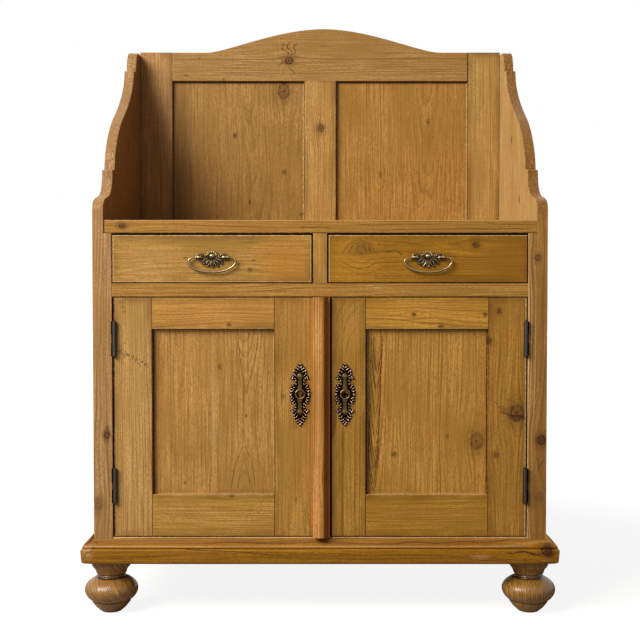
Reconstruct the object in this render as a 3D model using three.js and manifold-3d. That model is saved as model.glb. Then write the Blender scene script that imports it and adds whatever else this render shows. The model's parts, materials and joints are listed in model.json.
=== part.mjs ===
// A pine washstand cabinet with a shaped gallery, two drawers over two framed doors, and bun feet.
// Millimetres, +Z up, +Y to the back. The origin is on the floor, under the middle of the whole.
import * as THREE from "three";
import { mergeVertices } from "three/addons/utils/BufferGeometryUtils.js";
import Module from "manifold-3d";

const wasm = await Module();
wasm.setup();

// The case: overall sizes, and the heights that stack up from the floor
const caseWidth = 940;
const caseDepth = 490;
const footHeight = 110;
const seatHeight = 33.5;
const cupboardHeight = 500;
const drawerBayHeight = 103.5;
const gallerySideRise = 438;
const galleryBackRise = 445;

// Boards of the case
const sideThick = 23;
const worktopThick = 27;
const bedThick = 27;
const bottomThick = 18;
const shelfThick = 18;
const shelfRise = 240;
const shelfSetback = 62;
const stileWidth = 17;
const stileDepth = 20;
const dividerWidth = 30;
const guideHeight = 20;
const stopStrip = 12;
const lowerBackThick = 16;
const lowerBackBoards = 6;
const boardJointWidth = 3;
const housing = 7;
const topLetIn = 2;

// Clearances and the overrun of cuts
const glueLine = 0.1;
const fit = 0.3;
const overrun = 2;

// Gallery side profile, from the back of its flat top down to the front edge
const hornFlat = 40;
const hornReach = 41;
const hornDrop = 53;
const stepFall = 4;
const upperStep = 29;
const upperCymaReach = 250;
const upperCymaDrop = 263;
const lowerStep = 24;
const lowerCymaDrop = 96;
const upperCymaShares = [[0.01, 0.19], [0.32, 0.38], [0.61, 0.53], [0.8, 0.64], [0.98, 0.82]];
const lowerCymaShares = [[0.02, 0.48], [0.25, 0.6], [0.58, 0.66], [0.86, 0.72], [1, 0.8]];
const curveSteps = 7;

// Framed gallery back
const backThick = 21;
const backStileWidth = 80;
const muntinWidth = 81;
const crestRailHeight = 70.5;
const crestRise = 58;
const crestHalfSpan = 290;
const crestShift = 8;
const crestShares = [0.83, 0.4];
const backPanelThick = 7;
const backPanelRecess = 8;
const panelEntry = 8;
const grooveDepth = 10;
const crestTongueDrop = 15;

// Moulded base frame
const plinthReach = 25;
const plinthWidth = 90;
const frontMouldHeight = 48;
const sideMouldHeight = 57;
const mouldFillet = 2;
const beadHeight = 38;
const beadRadius = 3;
const beadSweep = [(2 * Math.PI) / 3, (-4 * Math.PI) / 9];
const faceHeight = 29;
const quirk = 3.5;
const faceArris = 1;
const plinthRound = 6;
const ogeeShares = [[0.16, 0.5], [0.72, 0.72]];

// Turned feet
const footRadius = 55.5;
const footCollar = 41;
const footNeck = 27;
const footBase = 21;
const footTenon = 12;
const footTenonLength = 30;
const footSides = 20;
const bunHeight = 47;
const grooveHeight = 26;
const neckHeight = 72;
const ringHeight = 80;
const collarHeight = 94;
const cupRadius = 43;
const toe = 4.5;
const lowerBunShare = 0.64;
const upperBunShare = 0.87;

// Doors
const doorThick = 22;
const doorGap = 1.5;
const hingeGap = 3;
const meetGap = 3;
const meetOffset = 22.2;
const outerStileWidth = 79.5;
const leftLockStileWidth = 115.7;
const rightLockStileWidth = 71.3;
const topRailHeight = 65;
const bottomRailHeight = 87.5;
const doorPanelThick = 7;
const doorPanelRecess = 10;
const tenonLength = 36;
const tenonShoulder = 14;

// Meeting moulding, planted on the left door
const mouldingWidth = 35;
const mouldingDepth = 20;
const mouldingFlank = 6;
const mouldingFlankShare = 0.9;
const mouldingFaceShares = [
  [0, 0.7],
  [0.07, 0.78],
  [0.1, 0.72],
  [0.15, 0.95],
  [0.25, 1],
  [0.52, 1],
  [0.65, 0.94],
];
const mouldingHollowShares = [[0.72, 0.5], [0.9, 0.28]];

// Hinges
const knuckleRadius = 4.2;
const knuckleProud = 0.3;
const hingeAxisInset = 2.5;
const webHalf = 0.9;
const pinRadius = 1.6;
const tipRadius = 2.6;
const hingeLength = 72;
const middleKnuckle = 16;
const leafWidth = 17;
const leafThick = 1.8;
const leafSunk = 1.2;
const upperHingeInset = 50;
const lowerHingeInset = 70;
const knuckleSides = 16;

// Drawers
const drawerSideGap = 2;
const drawerFrontLift = 1.5;
const drawerTopGap = 4;
const drawerFrontThick = 21;
const drawerSideThick = 12;
const drawerSideDrop = 6;
const drawerBackThick = 12;
const drawerRearGap = 24;
const drawerBottomThick = 7;
const drawerBottomRise = 8;
const drawerBottomEntry = 4;
const drawerFrontGroove = 7;
const frontTailLength = 14;
const frontTails = 3;
const rearTails = 2;
const tailTipShare = 0.36;
const tailRootShare = 0.27;

// Drawer pulls
const pullLift = 3;
const postSpread = 26;
const postRadius = 4;
const postStandoff = 6;
const shankRadius = 2;
const nutRadius = 5;
const nutThick = 3;
const nutSides = 6;
const plateThick = 2;
const bossLift = 2.5;
const bossRadius = 6.8;
const bossHeight = 5;
const fanHalfWidth = 33;
const fanDrop = 21;
const fanRise = 6;
const crownRadius = 10.5;
const wingHalfWidth = 9;
const wingHalfHeight = 4.5;
const wingCentre = 31;
const scallopShare = 0.06;
const fanScallops = 18;
const crownScallops = 10;
const wingScallops = 5;
const pointsPerScallop = 4;
const rayRelief = 1.4;
const rayWidth = 2.6;
const rayReachShare = 0.93;
const lowerRays = 9;
const upperRays = 5;
const bailRadius = 1.5;
const bailHalfWidth = 48.5;
const bailDrop = 30.5;
const bailShares = [[0.62, 0], [0.8, 0.03], [0.94, 0.14], [1, 0.32], [0.9, 0.57], [0.6, 0.84]];
const bailSides = 8;
const bailSteps = 36;

// Escutcheons and the lock behind the right one
const escutcheonHalfHeight = 66;
const escutcheonHalfWidth = 22;
const escutcheonThick = 1.5;
const escutcheonShares = [
  [1, 0],
  [0.72, 0.12],
  [0.9, 0.23],
  [0.6, 0.34],
  [0.9, 0.47],
  [0.48, 0.64],
  [0.6, 0.8],
  [0.25, 0.91],
];
const pointsPerLobe = 3;
const piercingShares = [[0.58, 0.13], [0.56, 0.27], [0.52, 0.45], [0.28, 0.74]];
const piercingHalfWidth = 2.2;
const piercingHalfHeight = 3.2;
const columnHalfWidth = 6.3;
const columnHalfHeight = 41;
const columnPoint = 7;
const columnRelief = 2.4;
const keyBossRadius = 10.7;
const keyBossRelief = 3.2;
const keyBossTipShare = 0.8;
const keyBowRadius = 4.2;
const keySlotWidth = 4.4;
const keySlotDrop = 11;
const escutcheonRise = 296;
const blindKeyInset = 62;
const keyInset = 28;
const lockWidth = 58;
const lockHeight = 64;
const lockThick = 15;
const lockInset = 3.5;
const boltHeight = 14;
const boltThick = 7;
const boltLength = 44;
const boltSetback = 2.5;
const boltRise = 16;
const talonWidth = 8;
const talonDepth = 4;
const keyPocket = 9;

// Planes worked out from the driving sizes
const halfCase = caseWidth / 2;
const innerHalf = halfCase - sideThick;
const openingHalf = innerHalf - stileWidth;
const carcassZ = footHeight + seatHeight;
const cupboardFloorZ = carcassZ + bottomThick;
const bedZ = cupboardFloorZ + cupboardHeight;
const drawerFloorZ = bedZ + bedThick;
const worktopUnderZ = drawerFloorZ + drawerBayHeight;
const worktopZ = worktopUnderZ + worktopThick;
const sideTopZ = worktopZ + gallerySideRise;
const backTopZ = worktopZ + galleryBackRise;
const crestRailZ = backTopZ - crestRailHeight;
const backFaceY = caseDepth - backThick;
const lowerBackY = caseDepth - lowerBackThick;
const backPanelY = [backFaceY + backPanelRecess, backFaceY + backPanelRecess + backPanelThick];
const backOpeningHalf = innerHalf - backStileWidth;
const shelfZ = cupboardFloorZ + shelfRise;

const pine = new THREE.MeshStandardMaterial({ color: 0xb07f3f, roughness: 0.55 });
const palePine = new THREE.MeshStandardMaterial({ color: 0xc49a63, roughness: 0.7 });
const brass = new THREE.MeshStandardMaterial({ color: 0x6b5430, roughness: 0.45, metalness: 1 });
const iron = new THREE.MeshStandardMaterial({ color: 0x3a322c, roughness: 0.5, metalness: 1 });

const cabinet = new THREE.Group();

function solidOf(geometry) {
  const bare = geometry.clone();
  bare.deleteAttribute("normal");
  bare.deleteAttribute("uv");
  const merged = mergeVertices(bare);
  return new wasm.Manifold(
    new wasm.Mesh({
      numProp: 3,
      vertProperties: merged.attributes.position.array,
      triVerts: new Uint32Array(merged.index.array),
    }),
  );
}

function geometryOf(solid) {
  const mesh = solid.getMesh();
  const indexed = new THREE.BufferGeometry();
  indexed.setAttribute("position", new THREE.BufferAttribute(mesh.vertProperties, mesh.numProp));
  indexed.setIndex(new THREE.BufferAttribute(mesh.triVerts, 1));
  const flat = indexed.toNonIndexed();
  flat.computeVertexNormals();
  return flat;
}

function join(...parts) {
  return geometryOf(parts.map(solidOf).reduce((whole, part) => whole.add(part)));
}

function cut(stock, ...tools) {
  return geometryOf(tools.map(solidOf).reduce((rest, tool) => rest.subtract(tool), solidOf(stock)));
}

function boxBetween(xs, ys, zs, growth) {
  const size = [xs, ys, zs].map(([low, high]) => high - low + 2 * growth);
  const centre = [xs, ys, zs].map(([low, high]) => (low + high) / 2);
  return new THREE.BoxGeometry(...size).translate(...centre);
}

// A board between six planes. Boards that share a plane keep a glue line between them.
function board(xs, ys, zs) {
  return boxBetween(xs, ys, zs, -glueLine / 2);
}

// The room cut for a tongue, tenon or leaf that lies between the same planes
function pocket(xs, ys, zs) {
  return boxBetween(xs, ys, zs, fit);
}

const axisX = new THREE.Vector3(1, 0, 0);
const axisY = new THREE.Vector3(0, 1, 0);
const axisZ = new THREE.Vector3(0, 0, 1);
const alongX = new THREE.Matrix4().makeBasis(axisY, axisZ, axisX);
const alongY = new THREE.Matrix4().makeBasis(axisZ, axisX, axisY);

// A bar along one axis with the given section: points (y, z) along x, (x, z) along y, (x, y) along z
function bar(axis, section, [from, to]) {
  const swapped = axis === "y" ? section.map(([a, b]) => [b, a]) : section;
  const outline = swapped.map(([a, b]) => new THREE.Vector2(a, b));
  const depth = to - from - glueLine;
  const geometry = new THREE.ExtrudeGeometry(new THREE.Shape(outline), { depth, bevelEnabled: false });
  geometry.translate(0, 0, from + glueLine / 2);
  if (axis === "x") geometry.applyMatrix4(alongX);
  if (axis === "y") geometry.applyMatrix4(alongY);
  return geometry;
}

function curvePoints(corners) {
  const vectors = corners.map(([a, b]) => new THREE.Vector2(a, b));
  const curve = new THREE.CubicBezierCurve(...vectors);
  return curve
    .getPoints(curveSteps)
    .slice(1)
    .map((point) => [point.x, point.y]);
}

// Points on part of an ellipse, both ends included
function arc([centreA, centreB], [radiusA, radiusB], [from, to]) {
  return Array.from({ length: curveSteps + 1 }, (_, step) => {
    const angle = from + (to - from) * (step / curveSteps);
    return [centreA + radiusA * Math.cos(angle), centreB + radiusB * Math.sin(angle)];
  });
}

function addPiece(parent, name, geometry, material) {
  const mesh = new THREE.Mesh(geometry, material.clone());
  mesh.name = name;
  parent.add(mesh);
  return mesh;
}

// The same piece for the other hand
function addMirrored(parent, name, mesh) {
  const twin = addPiece(parent, name, mesh.geometry, mesh.material);
  twin.scale.x = -1;
  return twin;
}

// Side boards, each one board from the base frame to the top of the gallery
function cyma([startY, startZ], reach, drop, shares) {
  const at = ([forward, down]) => [startY - forward * reach, startZ - down * drop];
  const [first, second, middle, third, fourth] = shares.map(at);
  const upper = curvePoints([[startY, startZ], first, second, middle]);
  const lower = curvePoints([middle, third, fourth, at([1, 1])]);
  return [...upper, ...lower];
}

function sideOutline() {
  const flatY = caseDepth - hornFlat;
  const hornY = flatY - hornReach;
  const hornZ = sideTopZ - hornDrop;
  const upperY = hornY - upperStep;
  const upperZ = hornZ - stepFall;
  const lowerY = upperY - upperCymaReach - lowerStep;
  const lowerZ = upperZ - upperCymaDrop - stepFall;
  const horn = arc([flatY, hornZ], [hornReach, hornDrop], [Math.PI / 2, Math.PI]);
  return [
    [0, carcassZ + glueLine],
    [caseDepth, carcassZ + glueLine],
    [caseDepth, sideTopZ],
    ...horn,
    [upperY, upperZ],
    ...cyma([upperY, upperZ], upperCymaReach, upperCymaDrop, upperCymaShares),
    [lowerY, lowerZ],
    ...cyma([lowerY, lowerZ], lowerY, lowerCymaDrop, lowerCymaShares),
  ];
}

function sideBoards() {
  const tongue = [innerHalf, innerHalf + housing];
  const housings = [
    pocket(tongue, [stileDepth, caseDepth], [worktopUnderZ, worktopZ - topLetIn]),
    pocket(tongue, [stileDepth, lowerBackY], [bedZ, drawerFloorZ]),
    pocket(tongue, [shelfSetback, lowerBackY], [shelfZ, shelfZ + shelfThick]),
  ];
  const blank = bar("x", sideOutline(), [innerHalf, halfCase]);
  const right = addPiece(cabinet, "side_right", cut(blank, ...housings), pine);
  addMirrored(cabinet, "side_left", right);
}

// A horizontal board seen from above: its front corners are stepped, then its ends run into the housings
function steppedBoard(frontHalf, endHalf, rearY, zs) {
  const frontEnd = frontHalf - glueLine / 2;
  const rearEnd = endHalf - glueLine / 2;
  const step = stileDepth + glueLine / 2;
  const half = [[frontEnd, 0], [frontEnd, step], [rearEnd, step], [rearEnd, rearY - glueLine / 2]];
  const mirrored = half.map(([x, y]) => [-x, y]).reverse();
  return bar("z", [...half, ...mirrored], zs);
}

// The counter: its end tongues and the feet of the gallery's frame are let in below its face
function worktop() {
  const zs = [worktopUnderZ, worktopZ];
  const top = steppedBoard(innerHalf, innerHalf + housing, caseDepth, zs);
  const grooveHalf = backOpeningHalf + panelEntry;
  const groove = pocket([-grooveHalf, grooveHalf], backPanelY, [worktopZ - panelEntry, worktopZ]);
  const letIn = (xs, fromY) => {
    const ys = [fromY, caseDepth + overrun];
    return boxBetween(xs, ys, [worktopZ - topLetIn, worktopZ + overrun], 0);
  };
  const endX = innerHalf - glueLine / 2;
  const tipX = innerHalf + housing + overrun;
  const muntinHalf = muntinWidth / 2;
  const shoulders = [letIn([endX, tipX], stileDepth), letIn([-tipX, -endX], stileDepth)];
  const feet = [
    letIn([backOpeningHalf, tipX], backFaceY),
    letIn([-tipX, -backOpeningHalf], backFaceY),
    letIn([-muntinHalf, muntinHalf], backFaceY),
  ];
  addPiece(cabinet, "worktop", cut(top, groove, ...shoulders, ...feet), pine);
}

// The thick board that carries the drawers: guides are glued on it, and a door stop under it
function drawerBed() {
  const deck = steppedBoard(openingHalf, innerHalf + housing, lowerBackY, [bedZ, drawerFloorZ]);
  const guideZ = [drawerFloorZ - glueLine, drawerFloorZ + guideHeight];
  const guideY = [stileDepth, lowerBackY];
  const stopY = [doorThick + fit + fit, doorThick + fit + stopStrip];
  const stop = board([-openingHalf, openingHalf], stopY, [bedZ - stopStrip, bedZ + fit]);
  const guides = [-1, 1].map((hand) => {
    const xs = [openingHalf * hand, innerHalf * hand].sort((a, b) => a - b);
    return board(xs, guideY, guideZ);
  });
  addPiece(cabinet, "drawer_bed", join(deck, stop, ...guides), pine);
}

function frontStiles() {
  const xs = [openingHalf, innerHalf];
  const blank = board(xs, [0, stileDepth], [carcassZ, worktopUnderZ]);
  const recesses = hingeCentres().map((z) => {
    const leafX = [openingHalf, openingHalf + leafSunk];
    return pocket(leafX, [0, leafWidth], [z - hingeLength / 2, z + hingeLength / 2]);
  });
  const right = addPiece(cabinet, "front_stile_right", cut(blank, ...recesses), pine);
  addMirrored(cabinet, "front_stile_left", right);
}

// Upright between the drawers, with the centre guide running back from its foot
function drawerDivider() {
  const guideTop = drawerFloorZ + guideHeight;
  const foot = drawerFloorZ + glueLine / 2;
  const rear = lowerBackY - glueLine / 2;
  const head = worktopUnderZ - glueLine / 2;
  const outline = [
    [0, foot],
    [rear, foot],
    [rear, guideTop],
    [stileDepth, guideTop],
    [stileDepth, head],
    [0, head],
  ];
  const geometry = bar("x", outline, [-dividerWidth / 2, dividerWidth / 2]);
  addPiece(cabinet, "drawer_divider", geometry, pine);
}

function shelves() {
  const floor = steppedBoard(openingHalf, innerHalf, lowerBackY, [carcassZ, cupboardFloorZ]);
  addPiece(cabinet, "bottom_board", floor, palePine);
  const shelfHalf = innerHalf + housing;
  const shelf = board([-shelfHalf, shelfHalf], [shelfSetback, lowerBackY], [shelfZ, shelfZ + shelfThick]);
  addPiece(cabinet, "cupboard_shelf", shelf, palePine);
}

// Tongue-and-groove boards glued to one panel, with a vee at each joint on both faces
function lowerBack() {
  const half = innerHalf - glueLine / 2;
  const boardWidth = (2 * half) / lowerBackBoards;
  const veeHalf = boardJointWidth / 2;
  const face = [[-half, 0]];
  for (let joint = 1; joint < lowerBackBoards; joint += 1) {
    const x = joint * boardWidth - half;
    face.push([x - veeHalf, 0], [x, veeHalf], [x + veeHalf, 0]);
  }
  face.push([half, 0]);
  const nearFace = face.map(([x, vee]) => [x, lowerBackY + glueLine / 2 + vee]);
  const farFace = face.reverse().map(([x, vee]) => [x, caseDepth - vee]);
  const geometry = bar("z", [...nearFace, ...farFace], [carcassZ, worktopUnderZ]);
  addPiece(cabinet, "lower_back", geometry, palePine);
}

// Gallery back: stiles, muntin and crest rail round two flat panels, let into the worktop
function galleryBack() {
  const ys = [backFaceY, caseDepth];
  const zs = [worktopZ - topLetIn, backTopZ];
  const openZ = [worktopZ - topLetIn, crestRailZ];
  const tongueTop = backTopZ - crestTongueDrop;
  const stile = board([backOpeningHalf, innerHalf], ys, zs);
  const stileGroove = [backOpeningHalf, backOpeningHalf + grooveDepth];
  const stileCut = pocket(stileGroove, backPanelY, [worktopZ - overrun, tongueTop]);
  const right = addPiece(cabinet, "back_stile_right", cut(stile, stileCut), pine);
  addMirrored(cabinet, "back_stile_left", right);

  const muntinHalf = muntinWidth / 2;
  const heartHalf = muntinHalf - grooveDepth;
  const muntin = board([-muntinHalf, muntinHalf], ys, openZ);
  const muntinCuts = [-1, 1].map((hand) => {
    const xs = [heartHalf * hand, muntinHalf * hand].sort((a, b) => a - b);
    return pocket(xs, backPanelY, [worktopZ - overrun, crestRailZ + overrun]);
  });
  const tongueZ = [worktopZ - panelEntry, crestRailZ + panelEntry];
  const tongue = board([-heartHalf + fit, heartHalf - fit], backPanelY, tongueZ);
  addPiece(cabinet, "back_muntin", join(cut(muntin, ...muntinCuts), tongue), pine);

  addPiece(cabinet, "crest_rail", crestRail(ys), pine);

  const panelX = [muntinHalf - panelEntry, backOpeningHalf + panelEntry];
  const panelGeometry = board(panelX, backPanelY, tongueZ);
  const panelRight = addPiece(cabinet, "back_panel_right", panelGeometry, pine);
  addMirrored(cabinet, "back_panel_left", panelRight);
}

function crestRail(ys) {
  const half = backOpeningHalf - glueLine / 2;
  const foot = crestRailZ + glueLine / 2;
  const peak = backTopZ + crestRise;
  const [footShare, peakShare] = crestShares;
  const arch = (hand) => [
    [crestShift + hand * crestHalfSpan, backTopZ],
    [crestShift + hand * crestHalfSpan * footShare, backTopZ],
    [crestShift + hand * crestHalfSpan * peakShare, peak],
    [crestShift, peak],
  ];
  const rising = [arch(1)[0], ...curvePoints(arch(1))];
  const falling = curvePoints(arch(-1).reverse());
  const outline = [[-half, foot], [half, foot], [half, backTopZ], ...rising, ...falling, [-half, backTopZ]];
  const rail = bar("y", outline, ys);
  const grooveHalf = backOpeningHalf + overrun;
  const grooveZ = [crestRailZ - overrun, crestRailZ + panelEntry];
  const groove = pocket([-grooveHalf, grooveHalf], backPanelY, grooveZ);
  const tongueHalf = backOpeningHalf + panelEntry;
  const tongueZ = [crestRailZ + grooveDepth + fit, backTopZ - crestTongueDrop];
  const tongue = board([-tongueHalf, tongueHalf], backPanelY, tongueZ);
  return join(cut(rail, groove), tongue);
}

// Section of the base frame: reach outwards from the case face against height over the frame's underside
function plinthSection(mouldHeight) {
  const beadCentre = [plinthReach - quirk - beadRadius, beadHeight - beadRadius];
  const grooveReach = beadCentre[0] - beadRadius / 2;
  const ogeeRun = grooveReach - mouldFillet;
  const ogeeDrop = mouldHeight - beadHeight;
  const ogeeAt = ([out, down]) => [mouldFillet + out * ogeeRun, mouldHeight - down * ogeeDrop];
  const ogee = curvePoints([
    [mouldFillet, mouldHeight],
    ogeeAt(ogeeShares[0]),
    ogeeAt(ogeeShares[1]),
    [grooveReach, beadHeight - beadRadius / 2],
  ]);
  const bead = arc(beadCentre, [beadRadius, beadRadius], beadSweep);
  const roundOff = curvePoints([
    [plinthReach, plinthRound],
    [plinthReach, plinthRound / 2],
    [plinthReach - plinthRound / 2, 0],
    [plinthReach - plinthRound, 0],
  ]);
  return [
    [plinthReach - plinthWidth, 0],
    [plinthReach - plinthWidth, seatHeight],
    [glueLine, seatHeight],
    [glueLine, mouldHeight],
    [mouldFillet, mouldHeight],
    ...ogee,
    ...bead,
    [plinthReach - faceArris, faceHeight + faceArris],
    [plinthReach, faceHeight - faceArris],
    [plinthReach, plinthRound],
    ...roundOff,
  ];
}

function moveVertices(geometry, move) {
  const places = geometry.attributes.position;
  const point = new THREE.Vector3();
  for (let index = 0; index < places.count; index += 1) {
    point.fromBufferAttribute(places, index);
    move(point);
    places.setXYZ(index, point.x, point.y, point.z);
  }
  geometry.computeVertexNormals();
  return geometry;
}

function footHole(x, y) {
  const radius = footTenon + fit;
  const hole = new THREE.CylinderGeometry(radius, radius, seatHeight + 2 * overrun, footSides);
  hole.rotateX(Math.PI / 2);
  return hole.translate(x, y, footHeight + seatHeight / 2);
}

const footX = halfCase + plinthReach - footRadius;
const frontFootY = footRadius - plinthReach;
const rearFootY = caseDepth - footRadius;

// Base frame: three moulded members, mitred at the front corners, under the sides and the bottom board
function baseFrame() {
  const frontSection = plinthSection(frontMouldHeight).map(([out, up]) => [-out, footHeight + up]);
  const front = moveVertices(bar("x", frontSection, [-1, 1]), (point) => {
    point.x = Math.sign(point.x) * (halfCase - point.y - glueLine);
  });
  const frontHoles = [-footX, footX].map((x) => footHole(x, frontFootY));
  addPiece(cabinet, "plinth_front", cut(front, ...frontHoles), pine);

  const sideSection = plinthSection(sideMouldHeight).map(([out, up]) => [halfCase + out, footHeight + up]);
  const side = moveVertices(bar("y", sideSection, [-1, 1]), (point) => {
    point.y = point.y > 0 ? caseDepth : halfCase - point.x + glueLine;
  });
  const sideHoles = [frontFootY, rearFootY].map((y) => footHole(footX, y));
  const right = addPiece(cabinet, "plinth_right", cut(side, ...sideHoles), pine);
  addMirrored(cabinet, "plinth_left", right);
}

// Bun foot, turned in one piece with its tenon: radius against height over the floor
function footProfile() {
  const lowerTurn = Math.asin(-lowerBunShare);
  const upperTurn = Math.asin(upperBunShare);
  const lowerRise = (bunHeight - grooveHeight) / lowerBunShare;
  const upperRise = (neckHeight - bunHeight) / upperBunShare;
  const lowerBun = arc([0, bunHeight], [footRadius, lowerRise], [lowerTurn, 0]);
  const upperBun = arc([0, bunHeight], [footRadius, upperRise], [0, upperTurn]);
  return [
    [0, 0],
    [footBase, 0],
    [footBase + toe, toe],
    [footBase + 2 * toe, 2 * toe],
    [cupRadius - toe, grooveHeight - toe],
    [cupRadius - toe, grooveHeight - toe / 2],
    ...lowerBun,
    ...upperBun.slice(1),
    [footNeck, neckHeight + toe / 2],
    [footNeck + toe / 2, ringHeight],
    [footNeck + toe, ringHeight + toe / 2],
    [footCollar - toe / 2, collarHeight],
    [footCollar, collarHeight + toe],
    [footCollar, footHeight - glueLine],
    [footTenon, footHeight - glueLine],
    [footTenon, footHeight + footTenonLength],
    [0, footHeight + footTenonLength],
  ];
}

function feet() {
  const points = footProfile().map(([radius, height]) => new THREE.Vector2(radius, height));
  const turned = new THREE.LatheGeometry(points, footSides).rotateX(Math.PI / 2);
  const corners = [
    ["foot_front_left", -footX, frontFootY],
    ["foot_front_right", footX, frontFootY],
    ["foot_rear_left", -footX, rearFootY],
    ["foot_rear_right", footX, rearFootY],
  ];
  for (const [name, x, y] of corners) {
    addPiece(cabinet, name, turned, pine).position.set(x, y, 0);
  }
}

// Drawers: lapped dovetails at the front, through dovetails at the back, the bottom in grooves
const bayWidth = openingHalf - dividerWidth / 2;
const drawerHalf = bayWidth / 2 - drawerSideGap;
const drawerCentre = (openingHalf + dividerWidth / 2) / 2;
const drawerFrontZ = [drawerFrontLift, drawerBayHeight - drawerTopGap];
const drawerSideZ = [fit, drawerBayHeight - drawerTopGap - drawerSideDrop];
const drawerInnerHalf = drawerHalf - drawerSideThick;
const drawerRearY = lowerBackY - drawerRearGap;
const drawerBackY = drawerRearY - drawerBackThick;
const drawerBottomZ = [drawerBottomRise, drawerBottomRise + drawerBottomThick];
const drawerBackZ = [drawerBottomRise + drawerBottomThick + fit, drawerSideZ[1]];
const pullHeight = (drawerFrontZ[0] + drawerFrontZ[1]) / 2 + pullLift;

// Outlines (y, z) of the tails on a drawer side, narrow at the root and wide at the tip
function tails(count, [low, high], rootY, tipY, growth) {
  const pitch = (high - low) / count;
  const outward = Math.sign(tipY - rootY);
  return Array.from({ length: count }, (_, index) => {
    const centre = low + (index + 0.5) * pitch;
    const root = pitch * tailRootShare + growth;
    const tip = pitch * tailTipShare + growth;
    const rootEdge = rootY - outward * growth;
    const tipEdge = tipY + outward * growth;
    return [
      [rootEdge, centre - root],
      [tipEdge, centre - tip],
      [tipEdge, centre + tip],
      [rootEdge, centre + root],
    ];
  });
}

function drawerSide() {
  const shoulder = drawerFrontThick + glueLine;
  const rearShoulder = drawerBackY - glueLine;
  const tipY = drawerFrontThick - frontTailLength;
  const [low, high] = drawerSideZ;
  const frontTeeth = tails(frontTails, drawerSideZ, shoulder, tipY, 0).flat();
  const rearTeeth = tails(rearTails, drawerBackZ, rearShoulder, drawerRearY, 0).flat();
  const heel = drawerBackZ[0] - fit;
  const outline = [
    [shoulder, low],
    ...frontTeeth,
    [shoulder, high],
    [rearShoulder, high],
    ...rearTeeth.reverse(),
    [rearShoulder, heel],
    [drawerRearY, heel],
    [drawerRearY, low],
  ];
  const side = bar("x", outline, [drawerInnerHalf, drawerHalf]);
  const grooveX = [drawerInnerHalf, drawerInnerHalf + drawerBottomEntry];
  const grooveY = [drawerFrontThick - drawerFrontGroove, drawerRearY + overrun];
  return cut(side, pocket(grooveX, grooveY, drawerBottomZ));
}

function drawerSockets(outlines) {
  const span = [drawerInnerHalf - fit, drawerHalf + overrun];
  return [-1, 1].flatMap((hand) => {
    const xs = span.map((x) => x * hand).sort((a, b) => a - b);
    return outlines.map((outline) => bar("x", outline, xs));
  });
}

function drawerFront() {
  const blank = board([-drawerHalf, drawerHalf], [0, drawerFrontThick], drawerFrontZ);
  const tipY = drawerFrontThick - frontTailLength;
  const sockets = drawerSockets(tails(frontTails, drawerSideZ, drawerFrontThick, tipY, fit));
  const grooveHalf = drawerInnerHalf + drawerBottomEntry;
  const grooveY = [drawerFrontThick - drawerFrontGroove, drawerFrontThick];
  const groove = pocket([-grooveHalf, grooveHalf], grooveY, drawerBottomZ);
  const holes = [-postSpread, postSpread].map((x) => {
    const depth = drawerFrontThick + 2 * overrun;
    const drill = new THREE.CylinderGeometry(shankRadius + fit, shankRadius + fit, depth, knuckleSides);
    return drill.translate(x, drawerFrontThick / 2, pullHeight);
  });
  return cut(blank, ...sockets, groove, ...holes);
}

function drawerBack() {
  const blank = board([-drawerHalf, drawerHalf], [drawerBackY, drawerRearY], drawerBackZ);
  return cut(blank, ...drawerSockets(tails(rearTails, drawerBackZ, drawerBackY, drawerRearY, fit)));
}

function addDrawer(hand, side) {
  const drawer = new THREE.Group();
  drawer.position.set(side * drawerCentre, 0, drawerFloorZ);
  cabinet.add(drawer);
  const bottomHalf = drawerInnerHalf + drawerBottomEntry;
  const bottomY = [drawerFrontThick - drawerFrontGroove, drawerRearY];
  const bottom = board([-bottomHalf, bottomHalf], bottomY, drawerBottomZ);
  addPiece(drawer, `${hand}_drawer_front`, drawerFront(), pine);
  const right = addPiece(drawer, `${hand}_drawer_side_right`, drawerSide(), palePine);
  addMirrored(drawer, `${hand}_drawer_side_left`, right);
  addPiece(drawer, `${hand}_drawer_back`, drawerBack(), palePine);
  addPiece(drawer, `${hand}_drawer_bottom`, bottom, palePine);

  const pull = new THREE.Group();
  pull.position.set(0, 0, pullHeight);
  drawer.add(pull);
  addPiece(pull, `${hand}_pull_plate`, pullPlate(), brass);
  addPiece(pull, `${hand}_pull_bail`, pullBail(), brass).position.set(0, -postStandoff, 0);
}

// Pull plate: a scalloped fan under a crown, with a boss, rays and two posts that carry the bail
function scalloped(centreX, centreZ, halfWidth, rise, drop, count) {
  const steps = count * pointsPerScallop;
  return Array.from({ length: steps }, (_, step) => {
    const angle = (2 * Math.PI * step) / steps;
    const swell = 1 + scallopShare * Math.cos(count * angle);
    const height = Math.sin(angle) > 0 ? rise : drop;
    return [centreX + halfWidth * swell * Math.cos(angle), centreZ + height * swell * Math.sin(angle)];
  });
}

function ray(angle, length) {
  const [cos, sin] = [Math.cos(angle), Math.sin(angle)];
  const root = [bossRadius / 2, rayWidth / 4];
  const tip = [length, rayWidth / 2];
  const outline = [[root[0], -root[1]], [tip[0], -tip[1]], tip, root].map(([along, across]) => [
    along * cos - across * sin,
    bossLift + along * sin + across * cos,
  ]);
  return bar("y", outline, [-plateThick - rayRelief, -plateThick / 2]);
}

function rays() {
  const lower = Array.from({ length: lowerRays }, (_, index) => {
    const angle = -Math.PI * ((index + 0.5) / lowerRays);
    const reach = Math.hypot(fanHalfWidth * Math.cos(angle), fanDrop * Math.sin(angle));
    return ray(angle, reach * rayReachShare);
  });
  const upper = Array.from({ length: upperRays }, (_, index) => {
    const angle = Math.PI * ((index + 1) / (upperRays + 1));
    return ray(angle, crownRadius * rayReachShare);
  });
  return [...lower, ...upper];
}

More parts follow.
